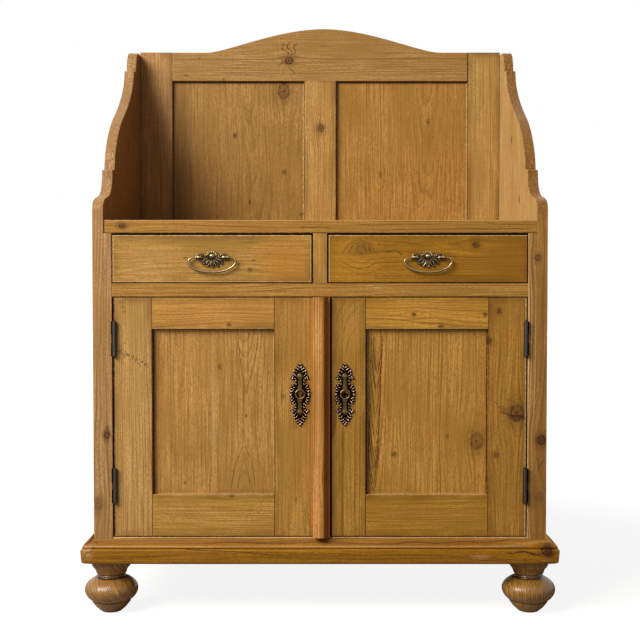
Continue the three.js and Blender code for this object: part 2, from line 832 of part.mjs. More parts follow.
function post(x) {
  const head = new THREE.SphereGeometry(postRadius, knuckleSides, knuckleSides / 2);
  head.translate(x, -postStandoff, 0);
  const reach = postStandoff + drawerFrontThick + fit + nutThick;
  const shank = new THREE.CylinderGeometry(shankRadius, shankRadius, reach, knuckleSides);
  shank.translate(x, reach / 2 - postStandoff, 0);
  const nut = new THREE.CylinderGeometry(nutRadius, nutRadius, nutThick, nutSides);
  nut.translate(x, drawerFrontThick + fit + nutThick / 2, 0);
  const bore = new THREE.CylinderGeometry(bailRadius + fit, bailRadius + fit, 3 * postRadius, knuckleSides);
  bore.rotateZ(Math.PI / 2).translate(x, -postStandoff, 0);
  return cut(join(head, shank, nut), bore);
}

function pullPlate() {
  const ys = [-plateThick, 0];
  const fan = bar("y", scalloped(0, bossLift, fanHalfWidth, fanRise, fanDrop, fanScallops), ys);
  const crown = bar("y", scalloped(0, bossLift, crownRadius, crownRadius, crownRadius, crownScallops), ys);
  const wings = [-wingCentre, wingCentre].map((x) =>
    bar("y", scalloped(x, 0, wingHalfWidth, wingHalfHeight, wingHalfHeight, wingScallops), ys),
  );
  const boss = new THREE.SphereGeometry(1, knuckleSides, knuckleSides / 2);
  boss.scale(bossRadius, bossHeight, bossRadius).translate(0, -plateThick, bossLift);
  const behind = boxBetween(
    [-bossRadius, bossRadius],
    [0, bossHeight],
    [bossLift - bossRadius, bossLift + bossRadius],
    glueLine / 2,
  );
  const face = cut(join(fan, crown, ...wings, ...rays(), boss), behind);
  return join(face, post(-postSpread), post(postSpread));
}

// Bail: one bent rod, its two ends turned inwards into the bores of the posts
function pullBail() {
  const inner = postSpread - postRadius / 2;
  const right = bailShares.map(([out, down]) => [out * bailHalfWidth, -down * bailDrop]);
  const half = [[inner, 0], ...right, [0, -bailDrop]];
  const left = half.slice(0, -1).reverse().map(([x, z]) => [-x, z]);
  const route = [...half, ...left].map(([x, z]) => new THREE.Vector3(x, 0, z));
  const path = new THREE.CatmullRomCurve3(route, false, "centripetal");
  const section = Array.from({ length: bailSides }, (_, step) => {
    const angle = (2 * Math.PI * step) / bailSides;
    return new THREE.Vector2(bailRadius * Math.cos(angle), bailRadius * Math.sin(angle));
  });
  return new THREE.ExtrudeGeometry(new THREE.Shape(section), {
    steps: bailSteps,
    extrudePath: path,
    bevelEnabled: false,
  });
}

// Doors: grooved frames, mortised and tenoned, each round one flat panel
const doorZ = cupboardFloorZ + doorGap;
const doorHeight = cupboardHeight - 2 * doorGap;
const hingeAxisY = -knuckleRadius - knuckleProud;
const doorPanelY = [doorPanelRecess, doorPanelRecess + doorPanelThick];
const upperMortise = [doorHeight - topRailHeight + tenonShoulder, doorHeight - tenonShoulder];
const lowerMortise = [tenonShoulder, bottomRailHeight - tenonShoulder];

function hingeCentres() {
  const lower = doorZ + lowerHingeInset + hingeLength / 2;
  const upper = doorZ + doorHeight - upperHingeInset - hingeLength / 2;
  return [upper, lower];
}

function doorStile([low, high], innerEdge, inward) {
  const along = (depth) => [innerEdge, innerEdge + inward * depth].sort((a, b) => a - b);
  const blank = board([low, high], [0, doorThick], [0, doorHeight]);
  const groove = pocket(along(grooveDepth), doorPanelY, [-overrun, doorHeight + overrun]);
  const mortises = [upperMortise, lowerMortise].map((zs) => pocket(along(tenonLength), doorPanelY, zs));
  return cut(blank, groove, ...mortises);
}

function doorRail(xs, zs, grooveZ, tongueZ, tenonZ) {
  const [low, high] = xs;
  const blank = board(xs, [0, doorThick], zs);
  const groove = pocket([low - overrun, high + overrun], doorPanelY, grooveZ);
  const haunch = board([low - panelEntry, high + panelEntry], doorPanelY, tongueZ);
  const tenon = board([low - tenonLength, high + tenonLength], doorPanelY, tenonZ);
  return join(cut(blank, groove), haunch, tenon);
}

// A door in its own frame: x from the hinged edge, y from the face, z from the foot
function addDoorFrame(leaf, hand, width, lockStileWidth) {
  const lockEdge = width - lockStileWidth;
  const opening = [outerStileWidth, lockEdge];
  const railTopZ = doorHeight - topRailHeight;
  const outer = doorStile([0, outerStileWidth], outerStileWidth, -1);
  const recesses = hingeCentres().map((centre) => {
    const z = centre - doorZ;
    return pocket([0, leafSunk], [0, leafWidth], [z - hingeLength / 2, z + hingeLength / 2]);
  });
  addPiece(leaf, `${hand}_door_outer_stile`, cut(outer, ...recesses), pine);
  const lockStile = doorStile([lockEdge, width], lockEdge, 1);
  const bored = hand === "right" ? cut(lockStile, keyhole(width - keyInset, doorThick)) : lockStile;
  addPiece(leaf, `${hand}_door_lock_stile`, bored, pine);
  const topRail = doorRail(
    opening,
    [railTopZ, doorHeight],
    [railTopZ - overrun, railTopZ + grooveDepth],
    [railTopZ + grooveDepth + fit, doorHeight],
    upperMortise,
  );
  addPiece(leaf, `${hand}_door_top_rail`, topRail, pine);
  const bottomRail = doorRail(
    opening,
    [0, bottomRailHeight],
    [bottomRailHeight - grooveDepth, bottomRailHeight + overrun],
    [0, bottomRailHeight - grooveDepth - fit],
    lowerMortise,
  );
  addPiece(leaf, `${hand}_door_bottom_rail`, bottomRail, pine);
  const panelX = [outerStileWidth - panelEntry, lockEdge + panelEntry];
  const panelZ = [bottomRailHeight - panelEntry, railTopZ + panelEntry];
  addPiece(leaf, `${hand}_door_panel`, board(panelX, doorPanelY, panelZ), pine);
}

// Astragal over the joint of the doors: a quirked bead, a flat face and a hollow flank
function meetingMoulding(width) {
  const left = width - mouldingWidth;
  const at = ([across, out]) => [left + across * mouldingWidth, -out * mouldingDepth];
  const face = mouldingFaceShares.map(at);
  const flankFoot = [left + mouldingFlankShare * mouldingWidth, -mouldingFlank];
  const hollow = curvePoints([face.at(-1), ...mouldingHollowShares.map(at), flankFoot]);
  const outline = [[left, -glueLine], ...face, ...hollow, [width, -mouldingFlank], [width, -glueLine]];
  return bar("z", outline, [0, doorHeight]);
}

// The keyhole as a cutter along y: a round bow over a slot
function keyhole(x, depth) {
  const length = depth + 2 * keyBossRadius;
  const bow = new THREE.CylinderGeometry(keyBowRadius, keyBowRadius, length, knuckleSides);
  bow.translate(x, depth / 2, escutcheonRise);
  const slotX = [x - keySlotWidth / 2, x + keySlotWidth / 2];
  const slotY = [depth / 2 - length / 2, depth / 2 + length / 2];
  return join(bow, boxBetween(slotX, slotY, [escutcheonRise - keySlotDrop, escutcheonRise], 0));
}

function mirrorFour(quarter) {
  const upperRight = quarter;
  const upperLeft = quarter.map(([x, z]) => [-x, z]).reverse();
  const lowerLeft = quarter.map(([x, z]) => [-x, -z]);
  const lowerRight = quarter.map(([x, z]) => [x, -z]).reverse();
  return [...upperRight, ...upperLeft.slice(1), ...lowerLeft.slice(1), ...lowerRight.slice(1, -1)];
}

// Escutcheon: a thin lobed and pierced plate with a raised column and a round boss for the key
function escutcheon(x, bored) {
  const lobes = [...escutcheonShares, [0, 1]].map(
    ([out, up]) => new THREE.Vector2(out * escutcheonHalfWidth, up * escutcheonHalfHeight),
  );
  const points = new THREE.SplineCurve(lobes).getPoints(escutcheonShares.length * pointsPerLobe);
  const quarter = [...points.slice(0, -1).map((point) => [point.x, point.y]), [0, escutcheonHalfHeight]];
  const place = ([across, up]) => [x + across, escutcheonRise + up];
  const holes = piercingShares.flatMap(([out, up]) =>
    [[1, 1], [-1, 1], [-1, -1], [1, -1]].map(([across, upward]) => {
      const centre = [across * out * escutcheonHalfWidth, upward * up * escutcheonHalfHeight];
      const outline = arc(centre, [piercingHalfWidth, piercingHalfHeight], [0, 2 * Math.PI]).slice(1);
      return bar("y", outline.map(place), [-escutcheonThick - overrun, overrun]);
    }),
  );
  const blank = bar("y", mirrorFour(quarter).map(place), [-escutcheonThick, 0]);
  const plate = cut(blank, ...holes);
  const columnQuarter = [
    [columnHalfWidth, 0],
    [columnHalfWidth, columnHalfHeight - columnPoint],
    [0, columnHalfHeight],
  ];
  const columnY = [-escutcheonThick - columnRelief, 0];
  const column = bar("y", mirrorFour(columnQuarter).map(place), columnY);
  const bossDepth = escutcheonThick + keyBossRelief;
  const bossTip = keyBossRadius * keyBossTipShare;
  const boss = new THREE.CylinderGeometry(keyBossRadius, bossTip, bossDepth, footSides);
  boss.translate(x, -bossDepth / 2 - glueLine / 2, escutcheonRise);
  const whole = join(plate, column, boss);
  if (bored) return cut(whole, keyhole(x, 0));
  const around = [x - keyPocket, x + keyPocket];
  const backing = boxBetween(around, [-escutcheonThick, keyPocket], [0, doorHeight], 0);
  return cut(whole, cut(keyhole(x, 0), backing));
}

// Hinges: leaf and knuckles in one piece, the pin riveted into the frame leaf's knuckles
function barrel(radius, [low, high]) {
  const cylinder = new THREE.CylinderGeometry(radius, radius, high - low, knuckleSides);
  return cylinder.rotateX(Math.PI / 2).translate(0, 0, (low + high) / 2);
}

function hingeLeaf(plateX, knuckles) {
  const half = hingeLength / 2;
  const plateStart = fit - hingeAxisY;
  const plate = board(plateX, [plateStart, leafWidth - hingeAxisY], [-half, half]);
  const webs = knuckles.flatMap((zs) => [
    board(plateX, [-webHalf, plateStart + webHalf], zs),
    board([plateX[0], 0], [-webHalf, webHalf], zs),
  ]);
  return join(plate, ...webs, ...knuckles.map((zs) => barrel(knuckleRadius, zs)));
}

function addHinge(hand, mount, name, z) {
  const half = hingeLength / 2;
  const middle = middleKnuckle / 2;
  const frameX = [-hingeAxisInset - hingeGap - leafSunk, -hingeAxisInset - hingeGap - leafSunk + leafThick];
  const frameLeaf = hingeLeaf(frameX, [[-half, -middle], [middle, half]]);
  const pin = barrel(pinRadius, [-half, half]);
  const tips = [-half, half].map((tipZ) =>
    new THREE.SphereGeometry(tipRadius, knuckleSides, knuckleSides / 2).translate(0, 0, tipZ),
  );
  const frame = join(frameLeaf, pin, ...tips);
  addPiece(mount, `${hand}_${name}_hinge_frame_leaf`, frame, iron).position.z = z;
  const doorX = [leafSunk - hingeAxisInset - leafThick, leafSunk - hingeAxisInset];
  const knuckle = [fit - middle, middle - fit];
  const swinging = cut(hingeLeaf(doorX, [knuckle]), barrel(pinRadius + fit, [-half, half]));
  addPiece(mount, `${hand}_${name}_hinge_door_leaf`, swinging, iron).position.z = z;
}

// Rim lock on the back of the right door: a case with a channel in which the bolt slides
function addLock(leaf, width) {
  const edge = width - lockInset;
  const keyX = width - keyInset;
  const caseY = [doorThick, doorThick + lockThick];
  const caseZ = [escutcheonRise - lockHeight / 2, escutcheonRise + lockHeight / 2];
  const boltY = [doorThick + boltSetback, doorThick + boltSetback + boltThick];
  const boltZ = [escutcheonRise + boltRise - boltHeight, escutcheonRise + boltRise];
  const boltX = [edge - boltLength, edge];
  const channel = pocket([edge - boltLength, edge + overrun], boltY, boltZ);
  const keyRoom = pocket(
    [keyX - keyPocket / 2, keyX + keyPocket / 2],
    [doorThick - overrun, doorThick + lockThick - boltSetback],
    [escutcheonRise - keySlotDrop, escutcheonRise + keyBowRadius],
  );
  const lockCase = cut(board([edge - lockWidth, edge], caseY, caseZ), channel, keyRoom);
  addPiece(leaf, "lock_case", lockCase, iron);
  const talon = pocket(
    [keyX - talonWidth / 2, keyX + talonWidth / 2],
    [boltY[0] - overrun, boltY[1] + overrun],
    [boltZ[0] - overrun, boltZ[0] + talonDepth],
  );
  addPiece(leaf, "lock_bolt", cut(board(boltX, boltY, boltZ), talon), iron);
}

// A door hangs in a group whose origin is its hinge axis; the right door is built in the mirrored group
function addDoor(hand, side) {
  const mount = new THREE.Group();
  mount.position.set(side * (openingHalf - hingeGap - hingeAxisInset), hingeAxisY, 0);
  mount.scale.x = -side;
  cabinet.add(mount);
  const leaf = new THREE.Group();
  leaf.position.set(-hingeAxisInset, -hingeAxisY, doorZ);
  mount.add(leaf);
  const width = openingHalf - hingeGap - side * meetOffset - meetGap / 2;
  addDoorFrame(leaf, hand, width, side < 0 ? leftLockStileWidth : rightLockStileWidth);
  const [upper, lower] = hingeCentres();
  addHinge(hand, mount, "upper", upper);
  addHinge(hand, mount, "lower", lower);
  if (side < 0) {
    addPiece(leaf, "meeting_moulding", meetingMoulding(width), pine);
    addPiece(leaf, "left_escutcheon", escutcheon(width - blindKeyInset, false), brass);
  } else {
    addPiece(leaf, "right_escutcheon", escutcheon(width - keyInset, true), brass);
    addLock(leaf, width);
  }
}

sideBoards();
worktop();
drawerBed();
frontStiles();
drawerDivider();
shelves();
lowerBack();
galleryBack();
baseFrame();
feet();
addDrawer("left", -1);
addDrawer("right", 1);
addDoor("left", -1);
addDoor("right", 1);
cabinet.position.y = (plinthReach - caseDepth) / 2;

export default cabinet;
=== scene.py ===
import json
import math

import bmesh
import bpy
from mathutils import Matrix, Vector

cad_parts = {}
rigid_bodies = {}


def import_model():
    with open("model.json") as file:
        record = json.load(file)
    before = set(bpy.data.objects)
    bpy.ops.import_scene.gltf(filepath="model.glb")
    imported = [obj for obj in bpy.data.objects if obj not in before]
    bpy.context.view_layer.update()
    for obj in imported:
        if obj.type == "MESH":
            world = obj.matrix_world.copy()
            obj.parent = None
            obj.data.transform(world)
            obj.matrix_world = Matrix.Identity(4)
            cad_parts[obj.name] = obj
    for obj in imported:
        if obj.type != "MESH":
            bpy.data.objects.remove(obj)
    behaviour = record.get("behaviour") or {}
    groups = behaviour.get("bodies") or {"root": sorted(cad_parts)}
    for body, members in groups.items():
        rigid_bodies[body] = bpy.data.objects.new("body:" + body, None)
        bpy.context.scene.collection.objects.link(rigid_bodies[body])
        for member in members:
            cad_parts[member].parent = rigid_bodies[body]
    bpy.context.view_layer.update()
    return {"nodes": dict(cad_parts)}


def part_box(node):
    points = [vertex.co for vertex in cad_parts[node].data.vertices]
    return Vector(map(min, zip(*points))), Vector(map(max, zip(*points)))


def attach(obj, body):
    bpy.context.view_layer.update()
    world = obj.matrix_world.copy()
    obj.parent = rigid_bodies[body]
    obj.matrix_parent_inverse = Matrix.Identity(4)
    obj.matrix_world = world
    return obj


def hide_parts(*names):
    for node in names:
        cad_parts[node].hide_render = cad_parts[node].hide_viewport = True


for leftover in list(bpy.data.objects):
    bpy.data.objects.remove(leftover)

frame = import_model()
nodes = frame["nodes"]

# Set of a studio: a white floor that keeps the cupboard's shadow, a white room, and one big soft
# window light up on the left with dim light from all round. The camera stands where the
# photographer stood: 2.2 m in front of the drawers, at half the cupboard's height.


def linear(hex_colour):
    """sRGB hex to the linear red, green, blue and alpha that nodes take."""
    parts = [int(hex_colour[i:i + 2], 16) / 255 for i in (1, 3, 5)]
    return [p / 12.92 if p <= 0.04045 else ((p + 0.055) / 1.055) ** 2.4 for p in parts] + [1]


signs = {"+": "ADD", "-": "SUBTRACT", "*": "MULTIPLY", "/": "DIVIDE", "*+": "MULTIPLY_ADD",
         ">": "GREATER_THAN", "max": "MAXIMUM", "min": "MINIMUM", "abs": "ABSOLUTE", "sin": "SINE",
         "power": "POWER", "fract": "FRACT", "length": "LENGTH", "scale": "SCALE",
         "dot": "DOT_PRODUCT"}
mode_names = {"Mix": "data_type", "MapRange": "interpolation_type", "TexNoise": "noise_dimensions"}


def put(tree, kind, *inputs, named=None, **settings):
    """Adds a node of a kind and mode, or a sum by its sign. Inputs are given in order or by name: a
    node or socket is linked, a number or colour is set, and None leaves the input alone."""
    kind, _, mode = ("Math " + kind if kind in signs else kind).partition(" ")
    node = tree.nodes.new("ShaderNode" + kind)
    if mode:
        settings[mode_names.get(kind, "operation")] = signs.get(mode, mode)
    for name, value in settings.items():
        setattr(node, name, value)
    sockets = [s for s in node.inputs if s.enabled]
    given = list(zip(sockets, inputs)) + [(node.inputs[n], v) for n, v in (named or {}).items()]
    for socket, value in given:
        if isinstance(value, bpy.types.Node):
            value = next(s for s in value.outputs if s.enabled)
        if isinstance(value, bpy.types.NodeSocket):
            tree.links.new(value, socket)
        elif value is not None:
            socket.default_value = value
    return node


def adder(tree):
    """The put function for one tree."""
    def add(*what, **how):
        return put(tree, *what, **how)
    return add


def blank(owner):
    """Empties the node tree of a material or world, and gives the put function for it."""
    owner.use_nodes = True
    owner.node_tree.nodes.clear()
    return adder(owner.node_tree)


def add_object(name, data):
    """A new object in the scene."""
    thing = bpy.data.objects.new(name, data)
    bpy.context.scene.collection.objects.link(thing)
    return thing


eye = bpy.data.cameras.new("photographer")
eye.sensor_width = 36
eye.lens = 60.36
eye.clip_end = 100
camera = add_object("photographer", eye)
camera.location = (0, -2.4485, 0.6787)
camera.rotation_euler = (math.radians(88.3), 0, 0)
bpy.context.scene.camera = camera
bpy.context.scene.view_settings.view_transform = "Standard"

window = bpy.data.lights.new("window", "AREA")
window.shape = "RECTANGLE"
window.size = 2.7
window.size_y = 2.1
window.energy = 305
window.color = linear("#fffaf2")[:3]
window_light = add_object("window", window)
window_light.location = (-2.85, -2.45, 3.15)
gallery_foot = Vector((0, -0.1, 0.75))
window_light.rotation_euler = (gallery_foot - window_light.location).to_track_quat(
    "-Z", "Y").to_euler()

room = bpy.data.worlds.new("white room")
add = blank(room)
ray = add("LightPath").outputs
seen = add("max", ray["Is Camera Ray"], ray["Is Glossy Ray"])
seen = add("max", seen, ray["Is Transmission Ray"])
fill = add("Background", linear("#fdfaf6"), 0.15)
white = add("Background", (1, 1, 1, 1), 1)
add("OutputWorld", add("MixShader", seen, fill, white))
bpy.context.scene.world = room

floor_mesh = bpy.data.meshes.new("studio_floor")
reach = 14
floor_mesh.from_pydata([(-reach, -reach, 0), (reach, -reach, 0), (reach, reach, 0),
                        (-reach, reach, 0)], [], [(0, 1, 2, 3)])
add_object("studio_floor", floor_mesh)
paper = bpy.data.materials.new("matt white paper")
add = blank(paper)
seen = add("LightPath").outputs["Is Camera Ray"]
away = add("VectorMath length", add("NewGeometry").outputs["Position"])
shadow_share = add("MapRange SMOOTHSTEP", away, 0.9, 1.9, 0.24, 0)
glows = add("*", add("-", 1, shadow_share), seen)
shade = add("Mix RGBA", seen, linear("#a3a19d"), linear("#f4f2ee"))
matt = add("BsdfDiffuse", shade)
glow = add("Emission", (1, 1, 1, 1), 1.16)
add("OutputMaterial", add("MixShader", add("-", 1, glows), glow, matt))
floor_mesh.materials.append(paper)

# Case: two tall side boards, face stiles, divider, drawer bed, bottom board and shelf, all of
# slow-grown pine. Boards are planed, scrubbed and waxed, so the dark summer rings and the knots
# show through an amber film, the arrises are rubbed pale and dirt has stayed in the joints.


def new_group(name, takes, gives):
    """An empty node group whose inputs and outputs are named in two lists, the points as vectors:
    the group, its put function, what it is given and where its results go."""
    group = bpy.data.node_groups.new(name, "ShaderNodeTree")
    for names, way in ((takes, "INPUT"), (gives, "OUTPUT")):
        for socket in names.split():
            kind = "Vector" if socket in ("Point", "Centre", "Pith") else "Float"
            group.interface.new_socket(socket, in_out=way, socket_type="NodeSocket" + kind)
    given = group.nodes.new("NodeGroupInput").outputs
    result = group.nodes.new("NodeGroupOutput").inputs
    return group, adder(group), given, result


def apart(add, value, at):
    """How far a value is from another, on either side."""
    return add("abs", add("-", value, at))


def knot_in_pine():
    """One knot: it bends the rings round itself; its bark rim is dark, its heart brown."""
    group, add, given, result = new_group(
        "knot in pine", "Point Heart Shade Centre Radius Reach Depth Long Ball",
        "Point Heart Shade")
    off = add("VectorMath -", given["Point"], given["Centre"])
    lens = add("VectorMath *", off, add("CombineXYZ", 1, 0.42, given["Ball"]))
    far = add("VectorMath length", lens)
    reach2 = add("power", given["Reach"], 2)
    share = add("/", reach2, add("+", add("power", far, 2), reach2))
    pull = add("VectorMath *", off, (1, 0, 0))
    pull = add("VectorMath scale", pull, named={"Scale": share})
    moved = add("VectorMath -", given["Point"], pull)
    x, y, z = add("SeparateXYZ", off).outputs
    flat = add("CombineXYZ", x, add("/", y, given["Long"]), add("*", z, given["Ball"]))
    near = add("VectorMath length", flat)
    ragged = add("-", add("TexNoise", given["Point"], 0.3, 3), 0.5)
    near = add("*+", add("*", ragged, given["Radius"]), 1.5, near)
    turn = add("/", near, given["Radius"])
    heart = add("MapRange SMOOTHSTEP", turn, 1.12, 0.78)
    rim = add("MapRange SMOOTHSTEP", apart(add, turn, 1), 0.26, 0.1)
    rim = add("*", rim, add("MapRange", ragged, -0.14, 0.04, 0.45, 1))
    halo = add("MapRange SMOOTHSTEP", turn, 3, 1, 0, 0.34)
    wave = add("*+", add("sin", add("*", turn, 15)), 0.34, 0.3)
    pith = add("MapRange SMOOTHSTEP", turn, 0.36, 0.1, 0, 0.6)
    inside = add("*", add("+", wave, pith), heart)
    dark = add("max", add("max", rim, inside), halo)
    shade = add("max", add("*", dark, given["Depth"]), given["Shade"])
    heart = add("max", add("*", heart, given["Depth"]), given["Heart"])
    for name, node in (("Point", moved), ("Shade", shade), ("Heart", heart)):
        group.links.new(node.outputs[0], result[name])
    return group


def pine_rings():
    """Year rings round a pith that leans and bows through the board, so that they show as arches
    where the board is cut along them and as lines where it is cut across. All lengths are in mm."""
    group, add, given, result = new_group(
        "pine rings", "Point Pith Tilt Bow Lean Gap Wander Seed", "Summer Fibre Patina Speck")

    def noise(squeeze, *detail):
        place = add("VectorMath *", given["Point"], squeeze)
        return add("TexNoise 4D", place, given["Seed"], 1, *detail)
    off = add("VectorMath -", given["Point"], given["Pith"])
    across, along, into = add("SeparateXYZ", off).outputs
    slow = noise((0.014, 0.0026, 0.014), 2).outputs["Color"]
    slow = add("VectorMath -", slow, (0.5, 0.5, 0.5))
    slow = add("VectorMath scale", slow, named={"Scale": given["Wander"]})
    slow = add("SeparateXYZ", slow).outputs
    across = add("+", across, slow[0])
    across = add("-", across, add("*", along, given["Lean"]))
    rises = add("*", along, given["Tilt"])
    bows = add("*", add("*", along, along), given["Bow"])
    aside = add("*", across, 1 / 70)
    aside = add("*+", aside, aside, 1)
    rises = add("/", add("+", rises, bows), aside)
    depth = add("+", add("+", rises, into), slow[1])
    radius = add("VectorMath length", add("CombineXYZ", across, depth, 0))
    radius = add("*+", noise((0.045, 0.0035, 0.045), 2), 2.4, radius)
    years = add("/", radius, given["Gap"])
    uneven = add("TexNoise 1D", add("*", years, 0.31), 1, 1)
    years = add("*+", uneven, 2.6, years)
    phase = add("fract", years)
    summer = add("*", add("MapRange", phase, 0.5, 0.86), add("MapRange", phase, 1, 0.95))
    vigour = add("TexNoise 1D", add("*", years, 0.83), 1, 0)
    summer = add("*", summer, add("MapRange", vigour, 0.34, 0.64, 0.18, 1))
    group.links.new(summer.outputs[0], result["Summer"])
    for name, *field in (("Fibre", (0.26, 0.008, 0.26), 5, 0.72),
                         ("Patina", (0.012, 0.006, 0.012), 4, 0.58),
                         ("Speck", (0.33, 0.16, 0.33), 3, 0.6)):
        group.links.new(noise(*field).outputs[0], result[name])
    return group


knot_group = knot_in_pine()
ring_group = pine_rings()
case_front = 232.5
seeds = iter(range(3, 400, 7))
dirty_rim = 21
pine_shares = ((1.13, 1.14, 1.18), (0.45, 0.38, 0.27), (0.7, 0.66, 0.5), (0.42, 0.38, 0.32),
               (1.36, 1.44, 1.9))


def waxed_pine(name, along, into, tone, pith, board=None, gap=4.3, tilt=0, bow=0, lean=0,
               wander=16, contrast=0.95, knots=(), marks=(), curls=(), joints=(), worn=(),
               face=0, painted_inner_shading=None, gloss=0.46, shine=0.22, sawn_edge=None):
    """Pine under wax: satin, with pale spring wood and red-brown summer lines, in mm from floor,
    middle and case front. Knots are (across, along, radius, strength), and end near a depth if one
    follows; marks (across, along, half width, half length, strength); curls are hair cracks that
    sway between two points (a, b, a, b, swing, waves, half width, strength), or pricked dots where
    they have no waves. Dark joints and worn arrises are (axis, at, width) and show on the face
    whose plane is given. Painted inner shading (axis, from, to, share of each colour, height)
    multiplies what lies beyond that above a height by the shares: painted shade where they are
    below one, painted light where they are above; sawn_edge tints a sawn front edge above the
    counter."""
    across = next(a for a in "xyz" if a not in (along, into))
    material = bpy.data.materials.new(name)
    add = blank(material)
    place = add("VectorMath *+", add("TexCoord").outputs["Object"], (1000, 1000, 1000),
                (0, case_front, 0))
    value = dict(zip("xyz", add("SeparateXYZ", place).outputs))
    point = add("CombineXYZ", value[across], value[along], value[into]).outputs[0]
    heart = shade = 0.0
    for a, b, radius, strength, *deep in knots:
        centre = (a, b, deep[0] if deep else 0)
        one = add("Group", point, heart, shade, centre, radius, radius * 1.9, strength, 1.25,
                  1.0 if deep else 0, node_tree=knot_group).outputs
        point, heart, shade = one["Point"], one["Heart"], one["Shade"]
    rings = add("Group", point, (pith[0], pith[2], pith[1]), tilt, bow, lean, gap, wander,
                float(next(seeds)), node_tree=ring_group)
    summer, fibre, patina, speck = rings.outputs
    spring, late, amber, grime, scrubbed = (
        [min(1, c * k) for c, k in zip(linear(tone), share)] + [1] for share in pine_shares)
    summer = add("*", summer, contrast)
    colour = add("Mix RGBA", summer, spring, late)

    def stain(share, ink, **how):
        nonlocal colour
        colour = add("Mix RGBA", share, colour, ink, **how)
    for field, none, full, most, ink in (
            (fibre, 0.47, 0.66, 0.85, late), (fibre, 0.47, 0.3, 0.7, scrubbed),
            (speck, 0.44, 0.68, 0.6, late), (patina, 0.42, 0.66, 0.75, amber)):
        stain(add("MapRange", field, none, full, 0, most), ink)
    if board:
        rims = None
        for axis in (across, along):
            low, high = (corner["xyz".index(axis)] * 1000 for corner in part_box(board))
            middle = (low + high) / 2 + (case_front if axis == "y" else 0)
            inward = add("-", (high - low) / 2, apart(add, value[axis], middle))
            rims = add("min", rims, inward) if rims else inward
        rims = add("MapRange SMOOTHSTEP", rims, dirty_rim, 0)
        dirt = add("MapRange", patina, 0.4, 0.62, 0.06, 0.85)
        stain(add("*", rims, dirt), grime)
    if knots:
        stain(add("*", heart, 0.62), linear("#7c4c20"))
        stain(add("*", shade, 1.1), linear("#2c1407"))
    stain(add("MapRange", speck, 0.66, 0.74, 0, 0.45), linear("#5a3312"))
    for a, b, half_width, half_length, strength, *ink in marks:
        off = add("VectorMath -", point, (a, b, 0))
        off = add("VectorMath *", off, (1 / half_width, 1 / half_length, 0))
        off = add("VectorMath length", off)
        off = add("*+", add("-", speck, 0.5), 1.6, off)
        ink = ink[0] if ink else "#46240d" if strength > 0 else "#e0bd86"
        stain(add("MapRange", off, 1.3, 0.35, 0, abs(strength)), linear(ink))
    for start_a, start_b, end_a, end_b, swing, waves, width, strength in curls:
        run = Vector((end_a - start_a, end_b - start_b, 0))
        beside = Vector((-run.y, run.x, 0)).normalized()
        off = add("VectorMath -", point, (start_a, start_b, 0))
        gone = add("VectorMath dot", off, tuple(run / run.length_squared))
        aside = add("VectorMath dot", off, tuple(beside))
        sway = add("sin", add("*", gone, waves * 2 * math.pi))
        aside = add("*+", sway, -swing, aside)
        line = add("MapRange", add("abs", aside), width, width * 0.3)
        ends = add("MapRange", apart(add, gone, 0.5), 0.5, 0.36, 0, strength)
        broken = add("MapRange", speck, *((0.34, 0.5, 0.35, 1) if waves else (0.5, 0.56)))
        stain(add("*", add("*", line, ends), broken), linear("#3f210c"))
    if painted_inner_shading:
        # Painted shade and painted light on an inner face: its colour is multiplied by the shares.
        axis, low, high, tint, above = painted_inner_shading
        beyond = add("MapRange", value[axis], low, high)
        where = add("*", beyond, add(">", value["z"], float(above)))
        stain(where, tint + (1,), blend_type="MULTIPLY")
    if sawn_edge:
        facing = add("SeparateXYZ", add("NewGeometry").outputs["Normal"]).outputs[1]
        facing = add("MapRange", add("abs", facing), 0.3, 0.6)
        facing = add("*", facing, add("MapRange", value["z"], 815, 850))
        facing = add("*", facing, add("MapRange", speck, 0.38, 0.62, 0.35, 1))
        stain(facing, sawn_edge + (1,), blend_type="MULTIPLY")
    for edges, ink, start, end in ((worn, "#dcb47c", 0.42, 0.64), (joints, "#2c1607", 0.3, 0.5)):
        lines = None
        for axis, at, width in edges:
            off = apart(add, value[axis], float(at))
            line = add("MapRange SMOOTHSTEP", off, width * 1.3, width * 0.5)
            lines = add("max", lines, line) if lines else line
        if lines:
            lines = add("*", lines, add("MapRange", speck, start, end, 0.25, 1))
            if face is not None:
                behind = apart(add, value[into], float(face))
                lines = add("*", lines, add("MapRange", behind, 2.6, 1.6))
            stain(lines, linear(ink))
    relief = add("*+", fibre, 0.55, summer)
    add("OutputMaterial", add("BsdfPrincipled", named={
        "Base Color": colour, "IOR": 1.46, "Specular IOR Level": shine,
        "Roughness": add("MapRange", patina, 0.3, 0.7, gloss + 0.07, gloss - 0.07),
        "Normal": add("Bump", named={"Strength": 0.35, "Distance": 0.0004, "Height": relief})}))
    return material


def raw_pine(name, along, into, tone, pith, gap, gloss=0.75, **looks):
    """Pine that was never waxed: matt, with paler rings."""
    return waxed_pine("raw pine, " + name, along, into, tone, pith, gap=gap, contrast=0.6,
                      gloss=gloss, **looks)


def rub_arrises(board, width, segments=2, angle=38):
    """Rounds the arrises of a piece, width mm wide."""
    bevel = board.modifiers.new("rubbed arrises", "BEVEL")
    bevel.width = width * 0.001
    bevel.segments = segments
    bevel.limit_method = "ANGLE"
    bevel.angle_limit = math.radians(angle)
    return bevel


def dress(node, material, arris=1):
    """A frame board with its material and rubbed arrises, arris mm wide."""
    board = nodes[node]
    for place in board.material_slots:
        place.material = material
    board.modifiers.new("one skin", "WELD").merge_threshold = 0.00001
    if arris:
        rub_arrises(board, arris)


def edges_of(node, names, width=1.3):
    """Lines along the named edges of a node's box, such as x- for its left edge."""
    low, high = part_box(node)
    lines = []
    for axis, end in names.split():
        at = (low if end == "-" else high)["xyz".index(axis)] * 1000
        lines.append((axis, round(at + (case_front if axis == "y" else 0), 2), width))
    return lines


